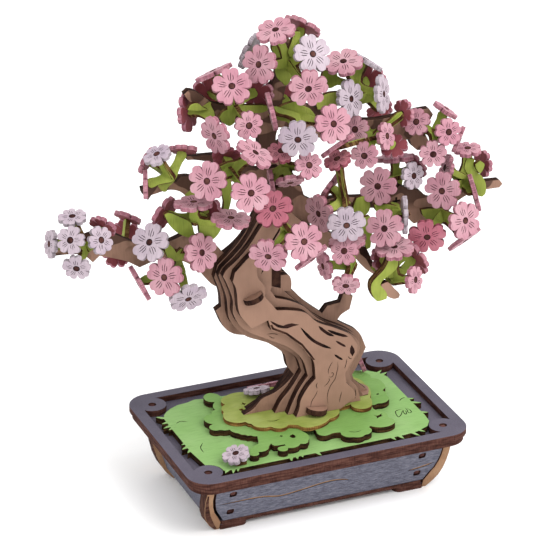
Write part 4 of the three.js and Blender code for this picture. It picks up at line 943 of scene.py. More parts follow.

# %% [markdown]
# ## Sprigs
#
# Every spray is a green sprig with blossoms plugged on its arms. A sprig is made of flat plates that
# cross each other, and two arms share one plate, so each plate here lies in the plane of its two
# arms. Some turn their green face to the eye and others their burnt edge, and it is that change that
# makes the sprays look three-dimensional. A web fills the corner between the two arms. About half of
# the sprays also hold broad leaf plates, which stand upright and parallel to the trunk's layers.

# %% Where the sprays are: hub, foot on the branch, and blossoms
# A blossom is x, y, z of its centre, the azimuth and elevation that it faces, and its kind: L large or
# S small, then p pink, w white or d pink darkened as painted shade, for those in the crown's shade.
# Millimetres from the tray's centre, and degrees.
SPRAYS = {
    "far_left": ([-95, -2, 130], [-95, 3.2, 127.5], [
        [-100.5, -1.5, 144, -135, 80, "Sw"], [-110, -1.5, 134, -180, 10, "Sw"],
        [-104.5, -10.5, 138.5, -130, 25, "Sw"], [-92.5, -12, 137, -70, 25, "Sw"],
        [-103, -12.5, 127, -120, -15, "Sw"], [-87, -0.5, 137.5, 40, 30, "Sp"],
    ]),
    "left_twig": ([-74, 10, 123.5], [-75, 6.8, 122.5], [
        [-70.5, 15, 132, 35, 50, "Sp"], [-69, 21.5, 122.5, 50, 5, "Sp"], [-75, 18, 114.5, 90, -45, "Sp"],
    ]),
    "left_inner": ([-60, -6.5, 123.5], [-59.5, 3.2, 120], [
        [-71.5, -14, 133, -140, 35, "Lw"], [-52.5, -22, 128.5, -70, 20, "Lp"],
    ]),
    "left_low": ([-57.5, -11, 116.5], [-54, 3.2, 118.3], [
        [-74.5, -8.5, 113, 175, -25, "Lp"], [-68, -21.5, 120, -140, 15, "Lp"],
        [-59, -23.5, 110, -93, -27.5, "Lw"],
    ]),
    "left_mid": ([-52.5, -15.5, 140], [-50, -4.3, 147.5], [
        [-62, -5, 140.5, 125, 20, "Lp"], [-54.5, -19.9, 150, 101, 85, "Lp"], [-45, -12, 142, 20, 0, "Lp"],
        [-41.5, -28, 144, -45, 85, "Lp"],
    ]),
    "left_up": ([-61.5, -12, 160], [-62, -4.3, 152], [
        [-67.5, -13.5, 171, -165, 65, "Sw"], [-68, -2.5, 164.5, 135, 20, "Sp"],
        [-54, -7.5, 169, 65, 55, "Sp"], [-72, -11, 158, 160, 0, "Sp"],
    ]),
    "mid_left": ([-38, -20.5, 161.5], [-36, -4.3, 152], [
        [-52, -29.5, 163.5, -135, 20, "Lp"], [-32, -30.5, 172.5, -40, 58, "Lp"],
        [-37, -38.5, 159.5, -100, 15, "Lp"], [-36.5, -11, 164.5, 75, 35, "Sd"],
    ]),
    "upper_left": ([-41.5, -4.5, 182], [-40.5, -0.4, 183.5], [
        [-48, 3, 180.5, 135, -10, "Lp"], [-44, -18.5, 178, -159, -5, "Lp"],
    ]),
    "upper_mid": ([-31, -5.5, 184.5], [-28.5, -0.4, 177.5], [
        [-35, -14, 196, -115, 45, "Lp"], [-36.5, 2, 196.5, 125, 60, "Lp"], [-35, 12, 184, 100, 0, "Lp"],
        [-18.5, 0, 186.5, 35, 5, "Lp"], [-30.5, -20.5, 181, -95, 10, "Sp"],
    ]),
    "top": ([-6.5, -5, 198.5], [-7, -0.4, 196], [
        [-13, -7.5, 214.5, -145, 70, "Lp"], [3, 2, 211, 30, 45, "Lp"],
        [-21.5, -11, 202.5, -150, 20, "Lp"], [-18, 8.5, 201, 133, 20, "Lw"],
        [-1.5, -18, 206.5, -85, 30, "Lw"], [-5.5, -23.5, 194.5, -105, -5, "Lp"],
    ]),
    "top_right": ([29.5, 8.5, 177.5], [27, 6.8, 162], [
        [21.5, 2, 192, -130, 70, "Lp"], [34.5, 9, 188.5, 5, 55, "Lw"], [21.8, -4, 178, -60, 15, "Lw"],
        [36.4, -4.3, 178, -41, 10, "Lw"], [39.5, 17, 176, 50, 10, "Lp"], [43.5, 13, 163, 20, -55, "Sp"],
    ]),
    "crown_front": ([-4, -11.5, 176.5], [-12, -0.4, 175], [
        [-11, -26, 174, -115, -5, "Lw"], [4, -27, 178.5, -85, 20, "Lp"],
        [-17.5, -13.5, 182.5, 165, -11.8, "Lp"], [-4.5, 8.5, 179, 85, 10, "Lp"],
    ]),
    "centre_up": ([-9.5, -10, 155], [-14, -4.3, 149.5], [
        [-6, -25.5, 161, -90, 35, "Sp"], [-14.5, -17, 165, -125, 65, "Sd"],
        [-11.5, -19, 152.5, -100, -50, "Sp"], [-17, -12, 149.5, 165, -5, "Sp"],
    ]),
    "right_fork": ([33, -3.5, 158.5], [33, 3.2, 159], [
        [24.2, -5.2, 164.3, -135, 20, "Sp"], [24, -15, 156.5, -125, 5, "Sp"],
        [35, -11.5, 162, -55, 15, "Sp"], [43, -3, 152.5, 55, -55, "Sp"], [47.5, -2.5, 167, 15, -8, "Sp"],
        [9.6, -20, 165.2, 125, 48, "Lp"],  # seen on its edge, from the front
    ]),
    "right_tip": ([62.5, -1.5, 154.5], [60, 3.2, 155], [
        [53.5, -3, 162, -140, 30, "Sp"], [67.5, -1, 164.5, -5, 55, "Sp"],
        [62.5, -14.5, 160.5, -90, 20, "Sp"], [70.5, -8.5, 153.5, -35.6, -19, "Sp"],
        [56.5, -13, 151, -110, 5, "Sp"],
    ]),
    "far_right": ([74, -6.5, 132], [78, -4, 127], [
        [76, -6.5, 147, -140, 85, "Sp"], [87, 0.5, 136, 10, -5, "Sp"], [66.5, -6, 140, 175, 15, "Sp"],
        [60, -16, 134.5, -140, 15, "Lp"], [76, -14, 130, -18, 15, "Lp"],
    ]),
    "right_low": ([63, -10, 120.5], [63.5, -4, 120], [
        [65.5, -26, 124, -75, 15, "Lp"], [69.5, -18.5, 111.5, -60, -45, "Lp"],
        [51, -20.5, 117, -115, -10, "Ld"],
    ]),
    "right_mid": ([46.5, 3, 135.5], [47, -0.4, 129], [
        [47, 4.5, 143.5, 85, 75, "Lp"], [49.5, -8, 140, -70, 15, "Sw"], [34, -7, 137.5, -125, 15, "Lp"],
        [58, 6.5, 137.5, 20, 20, "Sp"],
    ]),
    "centre_right": ([16, -13, 135.5], [14.5, -4, 131], [
        [2.5, -18, 135, -160, 0, "Lp"], [12, -7, 141, 135, 30, "Lp"], [9.5, -29.5, 133.5, -110, -5, "Lw"],
        [11.5, -15.5, 156.5, -165, 65, "Sd"],
    ]),
    "centre_low": ([-13.5, -22, 131], [-13, -7.6, 131], [
        [-26.5, -32, 127, -125, -15, "Lp"], [-22.5, -27.5, 145, -130, 45, "Ld"],
        [-13.5, -38, 133.5, -95, 15, "Lp"], [-7, -31.1, 122.1, -57.5, -43.3, "Lp"],
    ]),
    "right_front": ([41.5, -11, 125], [43, -4, 126], [
        [40.5, -20, 128.5, 160, 0, "Lw"], [29, -25.5, 126.5, -135, 20, "Lp"],
    ]),
    "low_right": ([15.5, -22, 110.5], [17, -7.6, 112.5], [
        [9, -29, 121, -130, 35, "Sp"], [3.2, -21.8, 112.3, -175, -2.5, "Sp"],
        [9.5, -29.5, 106, -115, -25, "Sp"], [15.5, -17.5, 119.5, 165, 80, "Lp"],
    ]),
    "hook": ([34, -25, 101.5], [32.5, -7.6, 101], [
        [33, -26.5, 117, -130, 80, "Lp"], [31.5, -16, 109, 120, -10, "Sp"],
        [45, -21.5, 108.5, 15, 20, "Lp"], [38.5, -34.5, 105, -55, 10, "Sp"],
    ]),
}
print(len(SPRAYS), "sprays with", sum(len(blooms) for _, _, blooms in SPRAYS.values()), "blossoms")

# %% The outline of one sprig plate
SPRIG_THICKNESS = 2.0 * MM
ARM_WIDTHS = [(0.3, 2.0), (0.62, 1.7), (0.88, 2.1), (1, 1.3)]  # shares of an arm's length, and half widths
WEB, WEB_DEPTH = 2.6, 0.4  # how far the web reaches along an arm, and the share of that in the corner
MOST_OF_ARM, MOST_IN_CORNER = 0.52, 0.6  # the web's limits, as shares of an arm's length
HEEL = 2.4  # how far the plate reaches back behind the hub
SPRIG_ROUNDING = (2, 60)


def in_plane(x, y, bend=None):
    """A point in millimetres in a sprig plate's plane, or its mirror image on an arm at that angle."""
    if bend is None:
        return Vector((x, y)) * MM
    c, s = math.cos(bend), math.sin(bend)
    return Vector((x * c + y * s, x * s - y * c)) * MM


def sprig_outline(length_a, length_b, bend):
    """Two arms, the first along x and the second at an angle in radians, with a web between them."""
    half = bend / 2
    near = ARM_WIDTHS[0][1]

    def arm(length, mirror):
        outer = [in_plane(share * length, -width, mirror) for share, width in ARM_WIDTHS]
        inner = [in_plane(share * length, width, mirror) for share, width in ARM_WIDTHS[:0:-1]]
        web_start = min(near / math.tan(half) + WEB, MOST_OF_ARM * length)
        return outer, inner + [in_plane(web_start, near, mirror)]

    outer_a, inner_a = arm(length_a, None)
    outer_b, inner_b = arm(length_b, bend)
    middle = Vector((math.cos(half), math.sin(half))) * MM
    reach = near / math.sin(half) + WEB_DEPTH * WEB
    web = middle * min(reach, MOST_IN_CORNER * min(length_a, length_b))
    return outer_a + inner_a + [web] + inner_b[::-1] + outer_b[::-1] + [middle * -HEEL]


def facing(azimuth, elevation):
    """A unit vector from an azimuth about +Z and an elevation above the table, in degrees."""
    a, e = math.radians(azimuth), math.radians(elevation)
    return Vector((math.cos(a) * math.cos(e), math.sin(a) * math.cos(e), math.sin(e)))


# %% Pairing the arms
FRONT = Vector((-0.35, -0.85, 0.4)).normalized()
ARM_BEHIND = 0.9 * MM  # how far behind the blossom's middle an arm ends
NARROWEST, WIDEST = math.radians(32), math.radians(158)  # between two arms that share a plate
SIDEWAYS = 0.7  # how far such a plate turns aside when an arm is in line with the stalk


def add_sprig_plate(bm, hub, arm_a, arm_b):
    """Adds the plate that holds two arms, given as vectors from the hub."""
    normal = arm_a.cross(arm_b).normalized()
    if normal.dot(FRONT) < 0:
        arm_a, arm_b, normal = arm_b, arm_a, -normal
    x_axis = arm_a.normalized()
    y_axis = normal.cross(x_axis)
    outline = sprig_outline(arm_a.length / MM, arm_b.length / MM, arm_a.angle(arm_b))
    add_plate(
        bm, [rounded(outline, *SPRIG_ROUNDING)],
        lambda p, depth: hub + x_axis * p.x + y_axis * p.y + normal * (SPRIG_THICKNESS / 2 - depth),
        SPRIG_THICKNESS,
    )


def shows_face(arm_a, arm_b):
    """How squarely the plate of two arms faces the front, or -1 if they are too close to a line."""
    if not NARROWEST < arm_a.angle(arm_b) < WIDEST:
        return -1
    return abs(arm_a.cross(arm_b).normalized().dot(FRONT))


def paired(arms, stalk):
    """The arms in pairs that show their faces best. Those left over share a plate with the stalk."""
    left, pairs = list(range(len(arms))), []
    while len(left) > 1:
        best, i, j = max((shows_face(arms[i], arms[j]), i, j) for i in left for j in left if i < j)
        if best < 0:
            break
        pairs.append((arms[i], arms[j]))
        left = [k for k in left if k not in (i, j)]
    others = [arms[k] for k in left] or [max(arms, key=lambda arm: shows_face(arm, stalk))]
    for arm in others:
        sideways = stalk if NARROWEST < arm.angle(stalk) < WIDEST else stalk + arm.cross(FRONT) * SIDEWAYS
        pairs.append((arm, sideways))
    return pairs


# %% Broad leaf plates: their front y, their outline as [x, height], and their thickness if it differs
LEAF_PLATES = {
    "top": [
        (-6.5, [[-14.2, 207.6], [-12.5, 209.1], [-9.5, 208.6], [-9, 205.9], [-7.9, 201.6],
              [-10.2, 201.7], [-12.2, 203.2], [-13.8, 205.1]]),
        (-5.5, [[-11.8, 201.1], [-7.8, 201.2], [-6.4, 200.1], [-3.4, 200.3], [0.1, 196.8], [-1.9, 193.7],
              [-5.1, 192.2], [-6.4, 189.7], [-8.1, 189.1], [-9.4, 190.9], [-11.3, 192.7], [-12.5, 196.8]]),
        (-7, [[-4.6, 212.9], [-2, 212.5], [-2.1, 209.6], [-3.7, 207.7], [-3.8, 201.8], [-6.4, 202],
              [-7.4, 204.3], [-6.1, 207.8]]),
    ],
    "crown_front": [
        (-9.5, [[-14.5, 179.9], [-11.5, 181.9], [-7, 182.9], [-3.8, 183.1], [-1.8, 180.9], [1.4, 178.9],
              [4, 175.5], [1.5, 174.3], [-1, 174], [-4, 173.5], [-7.4, 172.2], [-8.5, 174.4],
              [-11.5, 175.6], [-14.5, 177.2]]),
    ],
    "upper_mid": [
        (-6, [[-28.8, 183.8], [-22.4, 182.9], [-16.5, 181.8], [-15.2, 180.2], [-17.9, 179],
              [-23.9, 179.9], [-28.3, 181.7]]),
        (-9, [[-35.3, 188.2], [-32.7, 186.3], [-30.4, 181.3], [-31.4, 180.4], [-31.9, 177.8],
              [-34, 176.7], [-35.9, 177.7], [-37.9, 179.8], [-38.7, 181.2], [-37.1, 183.3], [-34.9, 184.1]]),
    ],
    "upper_left": [
        (-4.6, [[-50.7, 184.7], [-49.3, 186.8], [-46.3, 187], [-43.8, 184.8], [-41.7, 183.5],
              [-46.3, 183.7]]),
    ],
    "mid_left": [
        (-19, [[-42.4, 164], [-39.1, 165], [-34.7, 165.3], [-32.2, 166.3], [-29.8, 163.4],
              [-31.6, 161.5], [-34.6, 159.5], [-36.1, 157.8], [-38.2, 157.2], [-39.7, 159.1],
              [-41.5, 162.3]]),
        (-18.6, [[-39.4, 158.5], [-37.9, 157.7], [-37.1, 153.1], [-37.6, 147.2], [-38.9, 142.7],
              [-41.3, 143.4], [-40.6, 147.7], [-41.7, 153.9]]),
    ],
    "far_right": [
        (-8, [[75.1, 144], [78.7, 142.7], [78.4, 138.3], [82.1, 134.6], [84.3, 130.6], [84.4, 125.9],
              [82.9, 124.5], [80.9, 125.4], [79.4, 130.9], [76.3, 135.1], [73.9, 139.6]]),
        (-9.9, [[78.1, 141.2], [80.3, 142.5], [82.5, 140.6], [82.1, 138.4], [80.5, 136.3], [78.5, 139.3]]),
        (-9.5, [[65.3, 141.2], [68.6, 140.1], [75.1, 135.9], [73.3, 134.9], [68, 137.5]]),
    ],
    "centre_right": [
        (-5.8, [[24.7, 132.9], [28.3, 133.2], [31, 129.5], [30.6, 126], [29, 124.5], [25.8, 124.7],
              [23.2, 128]]),
    ],
    "right_front": [
        (-8.9, [[25.8, 125], [29.6, 125.1], [30.8, 119], [30.1, 110.3], [28.5, 109.8], [27.1, 112.9],
              [26, 118.8]]),
        (-9.3, [[31.4, 130.1], [35, 129.9], [42.3, 127.4], [43.5, 125.7], [42.3, 124.9], [37.2, 125.9],
              [32.5, 126.9]]),
    ],
    "left_mid": [
        (-16.8, [[-66.1, 145.7], [-64.2, 146.3], [-59.4, 143.6], [-54.6, 140.1], [-52.7, 133],
              [-56.7, 134.1], [-61.1, 137.2], [-63.8, 140.6]]),
        (-17.4, [[-50.8, 144.6], [-48.4, 143.3], [-46.2, 139.6], [-41.2, 135.7], [-43, 132.9],
              [-45.2, 131.2], [-49.3, 131.5], [-50.9, 134.3], [-51.3, 140]]),
    ],
    "top_right": [
        (7.5, [[14.8, 189.2], [18.2, 188], [20.8, 185.9], [21.6, 183.6], [29, 179.7], [28.9, 176.4],
              [21.5, 179.9], [18.3, 179], [15.7, 180], [14.1, 182.8], [14.7, 186.3]]),
        (7, [[30.9, 175.7], [34.9, 176.2], [38.7, 175.2], [38.6, 170.3], [33.9, 169.8], [29.9, 169.3],
              [27.9, 172.4]]),
        (1, [[8.9, 176.1], [10.8, 178.5], [14.2, 179.7], [20.2, 179.3], [26.2, 177.2], [32.1, 177.1],
              [30.2, 173.9], [23.2, 173.4], [17.3, 173.4], [12.3, 172.8], [9.5, 173.3]]),
    ],
    "left_inner": [
        (-14, [[-65.3, 129.7], [-63.1, 130.7], [-61.1, 128.3], [-60.1, 126.3], [-57.8, 127.9],
              [-56.1, 126.7], [-56.8, 123.4], [-59.4, 122.5], [-62.7, 123.4], [-64.5, 126.2]]),
    ],
    "right_low": [
        (-9.5, [[53.3, 124.1], [57.9, 123.9], [64.7, 122.4], [66.4, 120.8], [63.2, 119.7], [60.1, 119.2],
              [57.5, 117.9], [54.2, 121.2]]),
    ],
    "hook": [
        (-30.5, [[28.9, 115], [33.2, 113.4], [32.7, 110], [30.7, 107.9], [28.3, 106.4], [25.9, 104.9],
              [25, 103.1], [28.2, 98.4], [28, 96.2], [24.9, 95.7], [23.4, 96], [21.2, 99.7], [20.7, 102],
              [21.1, 104.8], [23.5, 107.3], [26.3, 109.7], [28, 112.4]], 4),
        (-26, [[29.6, 105.6], [32.6, 110.2], [35.5, 112.2], [38.4, 113.7], [40.2, 112.3], [39.3, 110.6],
              [36.6, 108.9], [35.4, 107.2], [37.6, 106.2], [38, 103.4], [33, 103], [30.2, 103.4]], 2.5),
    ],
}
LEAF_THICKNESS = 2.2
print("leaf plates:", sum(len(plates) for plates in LEAF_PLATES.values()))

# %% Building the sprigs
STALK_IN_BRANCH = 0.8 * MM
SPRIG_FINISH = [LEAF_PRINT, SPRIG_EDGE, BURN, LEAF_PRINT]
for spray, (hub, foot, blooms) in SPRAYS.items():
    bm = bmesh.new()
    for front, outline, *own_thickness in LEAF_PLATES.get(spray, []):
        thickness = own_thickness[0] if own_thickness else LEAF_THICKNESS
        add_plate(bm, [drawn(outline, ROUNDING)], upright(at(0, front, 0).y), thickness * MM)
    middle = at(*hub)
    stalk = at(*foot) - middle
    stalk += stalk.normalized() * STALK_IN_BRANCH
    arms = [
        at(x, y, z) - facing(azimuth, elevation) * ARM_BEHIND - middle
        for x, y, z, azimuth, elevation, _ in blooms
    ]
    for arm_a, arm_b in paired(arms, stalk):
        add_sprig_plate(bm, middle, arm_a, arm_b)
    mesh = finished_mesh(bm, spray + "_sprig")
    put(spray + "_sprig", mesh, SPRIG_FINISH, ["spray_" + spray])
print("sprigs made:", len(SPRAYS))

# %% [markdown]
# ## Blossoms
#
# A blossom is a disc of thin plywood cut to five rounded petals with a small notch in each. Petals
# follow a rule, so the outline is a formula in polar coordinates: the reach of a petal swells from
# the valley between two petals, and dips at its middle. Three fine lines are engraved on each petal,
# and the end of a peg stands in the burnt slot in the centre.
#
# Two blanks, large and small, are enough for nearly a hundred blossoms, and a third makes the tray's
# pegs. Copying their mesh in Python would work, but Geometry Nodes make it a matter of points: a mesh
# of loose points holds where each blossom sits and how it is turned, and the tree puts a blank on each.


# %% The outline of a blossom
PETALS = 5
VALLEY, NOTCH = 0.5, 0.1  # where the valley ends and how deep the notch is, as shares of the radius
NOTCH_HALF_WIDTH = 9  # degrees
SQUARENESS, FULLNESS = 4.6, 0.62  # how broad a petal's tip is, and how steeply its sides rise
OUTLINE_ANGLES = [
    -36, -35.4, -34.2, -31.5, -27.5, -22, -15.5, -9, -4.5, 0, 4.5, 9, 15.5, 22, 27.5, 31.5, 34.2, 35.4,
]  # degrees from a petal's middle, closer together where the outline bends more
SLOT_RADIUS, LINE_GAP = 1.5, 0.25  # the slot in the centre, and the lines' distance from it
PETAL_LINES = [  # lean and bend in degrees, then the first and last point as shares of the radius
    (-14, -3, 0.29, 0.62), (0, 2, 0.18, 0.74), (14, 3, 0.29, 0.66),
]
LINE_STEPS, LINE_SWAY = 3, 1.6
LINE_WIDTH, LINE_DEPTH = 0.036, 0.2 * MM  # the width is a share of the radius
FIRST_PETAL = 90


def petal_reach(offset):
    """The outline's distance from the centre, for an angle in degrees from a petal's middle."""
    half = 180 / PETALS
    swell = (1 - abs(offset / half) ** SQUARENESS) ** FULLNESS
    dip = NOTCH * max(0, 1 - abs(offset) / NOTCH_HALF_WIDTH)
    return VALLEY + (1 - VALLEY) * swell - dip


def petal_outline(radius):
    """A blossom's closed outline."""
    loop = []
    for petal in range(PETALS):
        middle = FIRST_PETAL + petal * 360 / PETALS
        for offset in OUTLINE_ANGLES:
            angle = math.radians(middle + offset)
            reach = radius * petal_reach(offset)
            loop.append(Vector((reach * math.cos(angle), reach * math.sin(angle))))
    return loop


def petal_lines(radius, width):
    """Three fine lines on each petal, from near the centre towards the tip."""
    lines = []
    for petal in range(PETALS):
        middle = FIRST_PETAL + petal * 360 / PETALS
        for lean, bend, first, last in PETAL_LINES:
            path = []
            start = max(first * radius, (SLOT_RADIUS + LINE_GAP) * MM)
            for step in range(LINE_STEPS + 1):
                reach = start + (last * radius - start) * step / LINE_STEPS
                angle = math.radians(middle + lean + bend * math.sin(step * LINE_SWAY))
                path.append(Vector((reach * math.cos(angle), reach * math.sin(angle))))
            lines.append(line_outline(path, width, 2))
    return lines


# %% The two blanks
BLOSSOM_THICKNESS = 1.9 * MM
PEG_STANDS_OUT, PEG_SIZE, PEG_ROUND = 0.2 * MM, 2.0, 0.28  # the corners' radius is a share of the size
TRAY_PEG_SIZE, TRAY_PEG_SUNK, TRAY_PEG_LENGTH = 2.3, 0.5, 2 * MM


def as_blank(bm, name):
    """The mesh as a blank for planting: each point keeps its place, and each face its finish's number."""
    mesh = finished_mesh(bm, name)
    place_attribute = mesh.attributes.new("petal_place", "FLOAT_VECTOR", "POINT")
    zone = mesh.attributes.new("zone", "INT", "FACE")
    for i, vertex in enumerate(mesh.vertices):
        place_attribute.data[i].vector = vertex.co
    for i, polygon in enumerate(mesh.polygons):
        zone.data[i].value = polygon.material_index
    return add_object(name, mesh)


def add_peg(bm, size, top, thickness):
    """Adds a peg with a rounded square end at that height, in the finish for pegs."""
    first = len(bm.faces)
    end = [point * MM for point in rounded_rectangle(size, size, size * PEG_ROUND, 2)]
    add_plate(bm, [end], lying(top), thickness)
    bm.faces.ensure_lookup_table()
    for face in bm.faces[first:]:
        face.material_index = PEG_SLOT


def blossom_blank(name, radius):
    """A blossom about the origin, facing +Z, with its petals, lines and peg."""
    bm = bmesh.new()
    slot = [point * MM for point in arc((0, 0), SLOT_RADIUS, 0, 360, 10)[:-1]]
    grooves = petal_lines(radius, LINE_WIDTH * radius) + [slot]
    place = lying(BLOSSOM_THICKNESS / 2)
    add_plate(bm, [petal_outline(radius)], place, BLOSSOM_THICKNESS, grooves, LINE_DEPTH)
    add_peg(bm, PEG_SIZE, BLOSSOM_THICKNESS / 2 + PEG_STANDS_OUT, BLOSSOM_THICKNESS + 2 * PEG_STANDS_OUT)
    return as_blank(bm, name)


def peg_blank(name, size, sunk):
    """A tray peg about the origin, whose end lies below its plate's face by that many millimetres."""
    bm = bmesh.new()
    add_peg(bm, size, -sunk * MM, TRAY_PEG_LENGTH)
    return as_blank(bm, name)


BLOSSOM_RADIUS = {"L": 8.25 * MM, "S": 6.0 * MM}
BLANKS = {size: blossom_blank(f"blank_{size}", radius) for size, radius in BLOSSOM_RADIUS.items()}
BLANKS["peg"] = peg_blank("blank_peg", TRAY_PEG_SIZE, TRAY_PEG_SUNK)
for size, blank in BLANKS.items():
    print("blank", size, "has", len(blank.data.polygons), "faces")

# %% The tree that sets a blank on every point
ZONES = ["Print", "Edge", "Engraving", "Back", "Peg"]


def planting_tree():
    """Geometry Nodes: a blank on each point, turned as the point says, with a finish for each zone."""
    tree = bpy.data.node_groups.new("set blossoms on points", "GeometryNodeTree")
    sockets = {}
    tree.interface.new_socket("Geometry", in_out="INPUT", socket_type="NodeSocketGeometry")
    sockets["Blank"] = tree.interface.new_socket("Blank", in_out="INPUT", socket_type="NodeSocketObject")
    for zone in ZONES:
        sockets[zone] = tree.interface.new_socket(zone, in_out="INPUT", socket_type="NodeSocketMaterial")
    tree.interface.new_socket("Geometry", in_out="OUTPUT", socket_type="NodeSocketGeometry")
    inputs = tree.nodes.new("NodeGroupInput")
    blank = add_node(tree, "GeometryNodeObjectInfo", {"Object": inputs.outputs["Blank"]})
    turned = add_node(
        tree, "GeometryNodeInputNamedAttribute", {"Name": "turned"}, data_type="FLOAT_VECTOR"
    )
    rotation = add_node(tree, "FunctionNodeEulerToRotation", {"Euler": turned.outputs["Attribute"]})
    planted = add_node(tree, "GeometryNodeInstanceOnPoints", {
        "Points": inputs.outputs["Geometry"],
        "Instance": blank.outputs["Geometry"],
        "Rotation": rotation.outputs["Rotation"],
    })
    realized = add_node(tree, "GeometryNodeRealizeInstances", {"Geometry": planted.outputs["Instances"]})
    own_place, grain_shift = [
        add_node(tree, "GeometryNodeInputNamedAttribute", {"Name": name}, data_type="FLOAT_VECTOR")
        for name in ("petal_place", "grain_shift")
    ]
    shifted = add_node(tree, "ShaderNodeVectorMath", operation="ADD")
    tree.links.new(own_place.outputs["Attribute"], shifted.inputs[0])
    tree.links.new(grain_shift.outputs["Attribute"], shifted.inputs[1])
    stored = add_node(
        tree, "GeometryNodeStoreNamedAttribute",
        {"Geometry": realized.outputs["Geometry"], "Name": "petal_place", "Value": shifted.outputs["Vector"]},
        data_type="FLOAT_VECTOR", domain="POINT",
    )
    geometry = stored.outputs["Geometry"]
    face_zone = add_node(tree, "GeometryNodeInputNamedAttribute", {"Name": "zone"}, data_type="INT")
    for number, zone in enumerate(ZONES):
        is_zone = add_node(tree, "FunctionNodeCompare", data_type="INT", operation="EQUAL")
        tree.links.new(face_zone.outputs["Attribute"], is_zone.inputs["A"])
        is_zone.inputs["B"].default_value = number
        painted = add_node(tree, "GeometryNodeSetMaterial", {
            "Geometry": geometry, "Selection": is_zone.outputs["Result"], "Material": inputs.outputs[zone],
        })
        geometry = painted.outputs["Geometry"]
    outputs = tree.nodes.new("NodeGroupOutput")
    tree.links.new(geometry, outputs.inputs["Geometry"])
    return tree, {name: socket.identifier for name, socket in sockets.items()}


PLANTING, PLANTING_INPUTS = planting_tree()
print("tree nodes:", len(PLANTING.nodes))

# %% [markdown]
# ## Turning and planting the blossoms
#
# A blossom's own frame has its petals' first tip pointing as far up as it can, and a small turn of
# its own, because they were pushed on by hand. The turns come from a seeded generator, so every run
# gives the same tree.

# %% Planting
BLOSSOM_FINISH = {
    "p": ([PINK_PRINT, PINK_EDGE, PINK_LINE, ROSE_BACK_AND_SHADE, PEG_END], "printed_pink"),
    "w": ([WHITE_PRINT, WHITE_EDGE, GREY_LINE, LILAC_BACK, PEG_END], "printed_white"),
    # d is pink darkened as painted shade, for blossoms in the crown's shade
    "d": ([PINK_FACE_PAINTED_SHADE, PINK_CUT_PAINTED_SHADE, PINK_LINE, ROSE_BACK_AND_SHADE, PEG_END], "printed_pink"),
}
SEED, MOST_SPIN, MOST_GRAIN_SHIFT = 41, 14, 0.2  # the spin in degrees, the shift in metres
chance = random.Random(SEED)


LEVEL = 0.95  # a normal more upright than this has no useful up beside it


def frame_facing(normal, spin=0.0):
    """A rotation whose z is the normal and whose y points as far up as it can, then spun in degrees."""
    up = Vector((0, 1, 0)) if abs(normal.z) > LEVEL else Vector((0, 0, 1))
    x = up.cross(normal).normalized()
    turned = Matrix((x, normal.cross(x), normal)).transposed()
    return turned @ Matrix.Rotation(math.radians(spin), 3, "Z")


def plant(name, blossoms, size, finish, nodes):
    """Sets blossoms of one size and print at (place, normal, spin) and makes them one plain piece."""
    points = bpy.data.meshes.new(name + "_points")
    points.from_pydata([place for place, _, _ in blossoms], [], [])
    turned = points.attributes.new("turned", "FLOAT_VECTOR", "POINT")
    grain_shift = points.attributes.new("grain_shift", "FLOAT_VECTOR", "POINT")
    for i, (_, normal, spin) in enumerate(blossoms):
        turned.data[i].vector = frame_facing(normal, spin).to_euler()
        grain_shift.data[i].vector = [chance.uniform(-MOST_GRAIN_SHIFT, MOST_GRAIN_SHIFT) for _ in range(3)]
    carrier = add_object(name + "_points", points)
    modifier = carrier.modifiers.new("plant", "NODES")
    modifier.node_group = PLANTING
    modifier[PLANTING_INPUTS["Blank"]] = BLANKS[size]
    for zone, material in zip(ZONES, finish):
        modifier[PLANTING_INPUTS[zone]] = material
    depsgraph = bpy.context.evaluated_depsgraph_get()
    mesh = bpy.data.meshes.new_from_object(carrier.evaluated_get(depsgraph), depsgraph=depsgraph)
    bpy.data.objects.remove(carrier)
    mesh.name = name
    mesh.set_sharp_from_angle(angle=math.radians(SHARP_ANGLE))
    return put(name, mesh, [], nodes)


total = 0
for spray, (_, _, blooms) in SPRAYS.items():
    groups = {}
    for x, y, z, azimuth, elevation, kind in blooms:
        turned = (at(x, y, z), facing(azimuth, elevation), chance.uniform(-MOST_SPIN, MOST_SPIN))
        groups.setdefault(kind, []).append(turned)
    for kind, blossoms in groups.items():
        finish, slot = BLOSSOM_FINISH[kind[1]]
        plant(f"{spray}_blossoms_{kind}", blossoms, kind[0], finish, ["spray_" + spray])
        total += len(blossoms)
print("blossoms planted:", total)

# %% Blossoms that have fallen on the ground
FALLEN = {  # place, azimuth and elevation that it faces, kind
    "fallen_pink_behind": ([-3.5, 28, 33.4], [92, 62], "Lp"),
    "fallen_white_behind": ([-12.8, 14.2, 39.65], [90, 72], "Sw"),
    "fallen_pink_edge": ([39.9, 22.7, 40.5], [-12, 21], "Sp"),
    "fallen_white_front": ([-41, -31, 36.4], [-163, 73], "Sw"),
}
for node, (place, face, kind) in FALLEN.items():
    finish, slot = BLOSSOM_FINISH[kind[1]]
    plant(node + "_blossom", [(at(*place), facing(*face), 0)], kind[0], finish, [node])

# The last one stands on a small block
STAND_SIZE, STAND_CORNER, STAND_SHIFT, BOARD_TOP = (5, 3.4), 0.5, (1.6, -0.6), 32
place = FALLEN["fallen_white_front"][0]
middle = Vector((place[0] + STAND_SHIFT[0], place[1] + STAND_SHIFT[1]))
stand_loop = in_frame([middle + point for point in rounded_rectangle(*STAND_SIZE, STAND_CORNER, 3)])
stand_mesh = plate_mesh("stand", [stand_loop], lying(place[2] * MM), (place[2] - BOARD_TOP) * MM)
put("stand", stand_mesh, SPRIG_FINISH, ["fallen_white_front"])

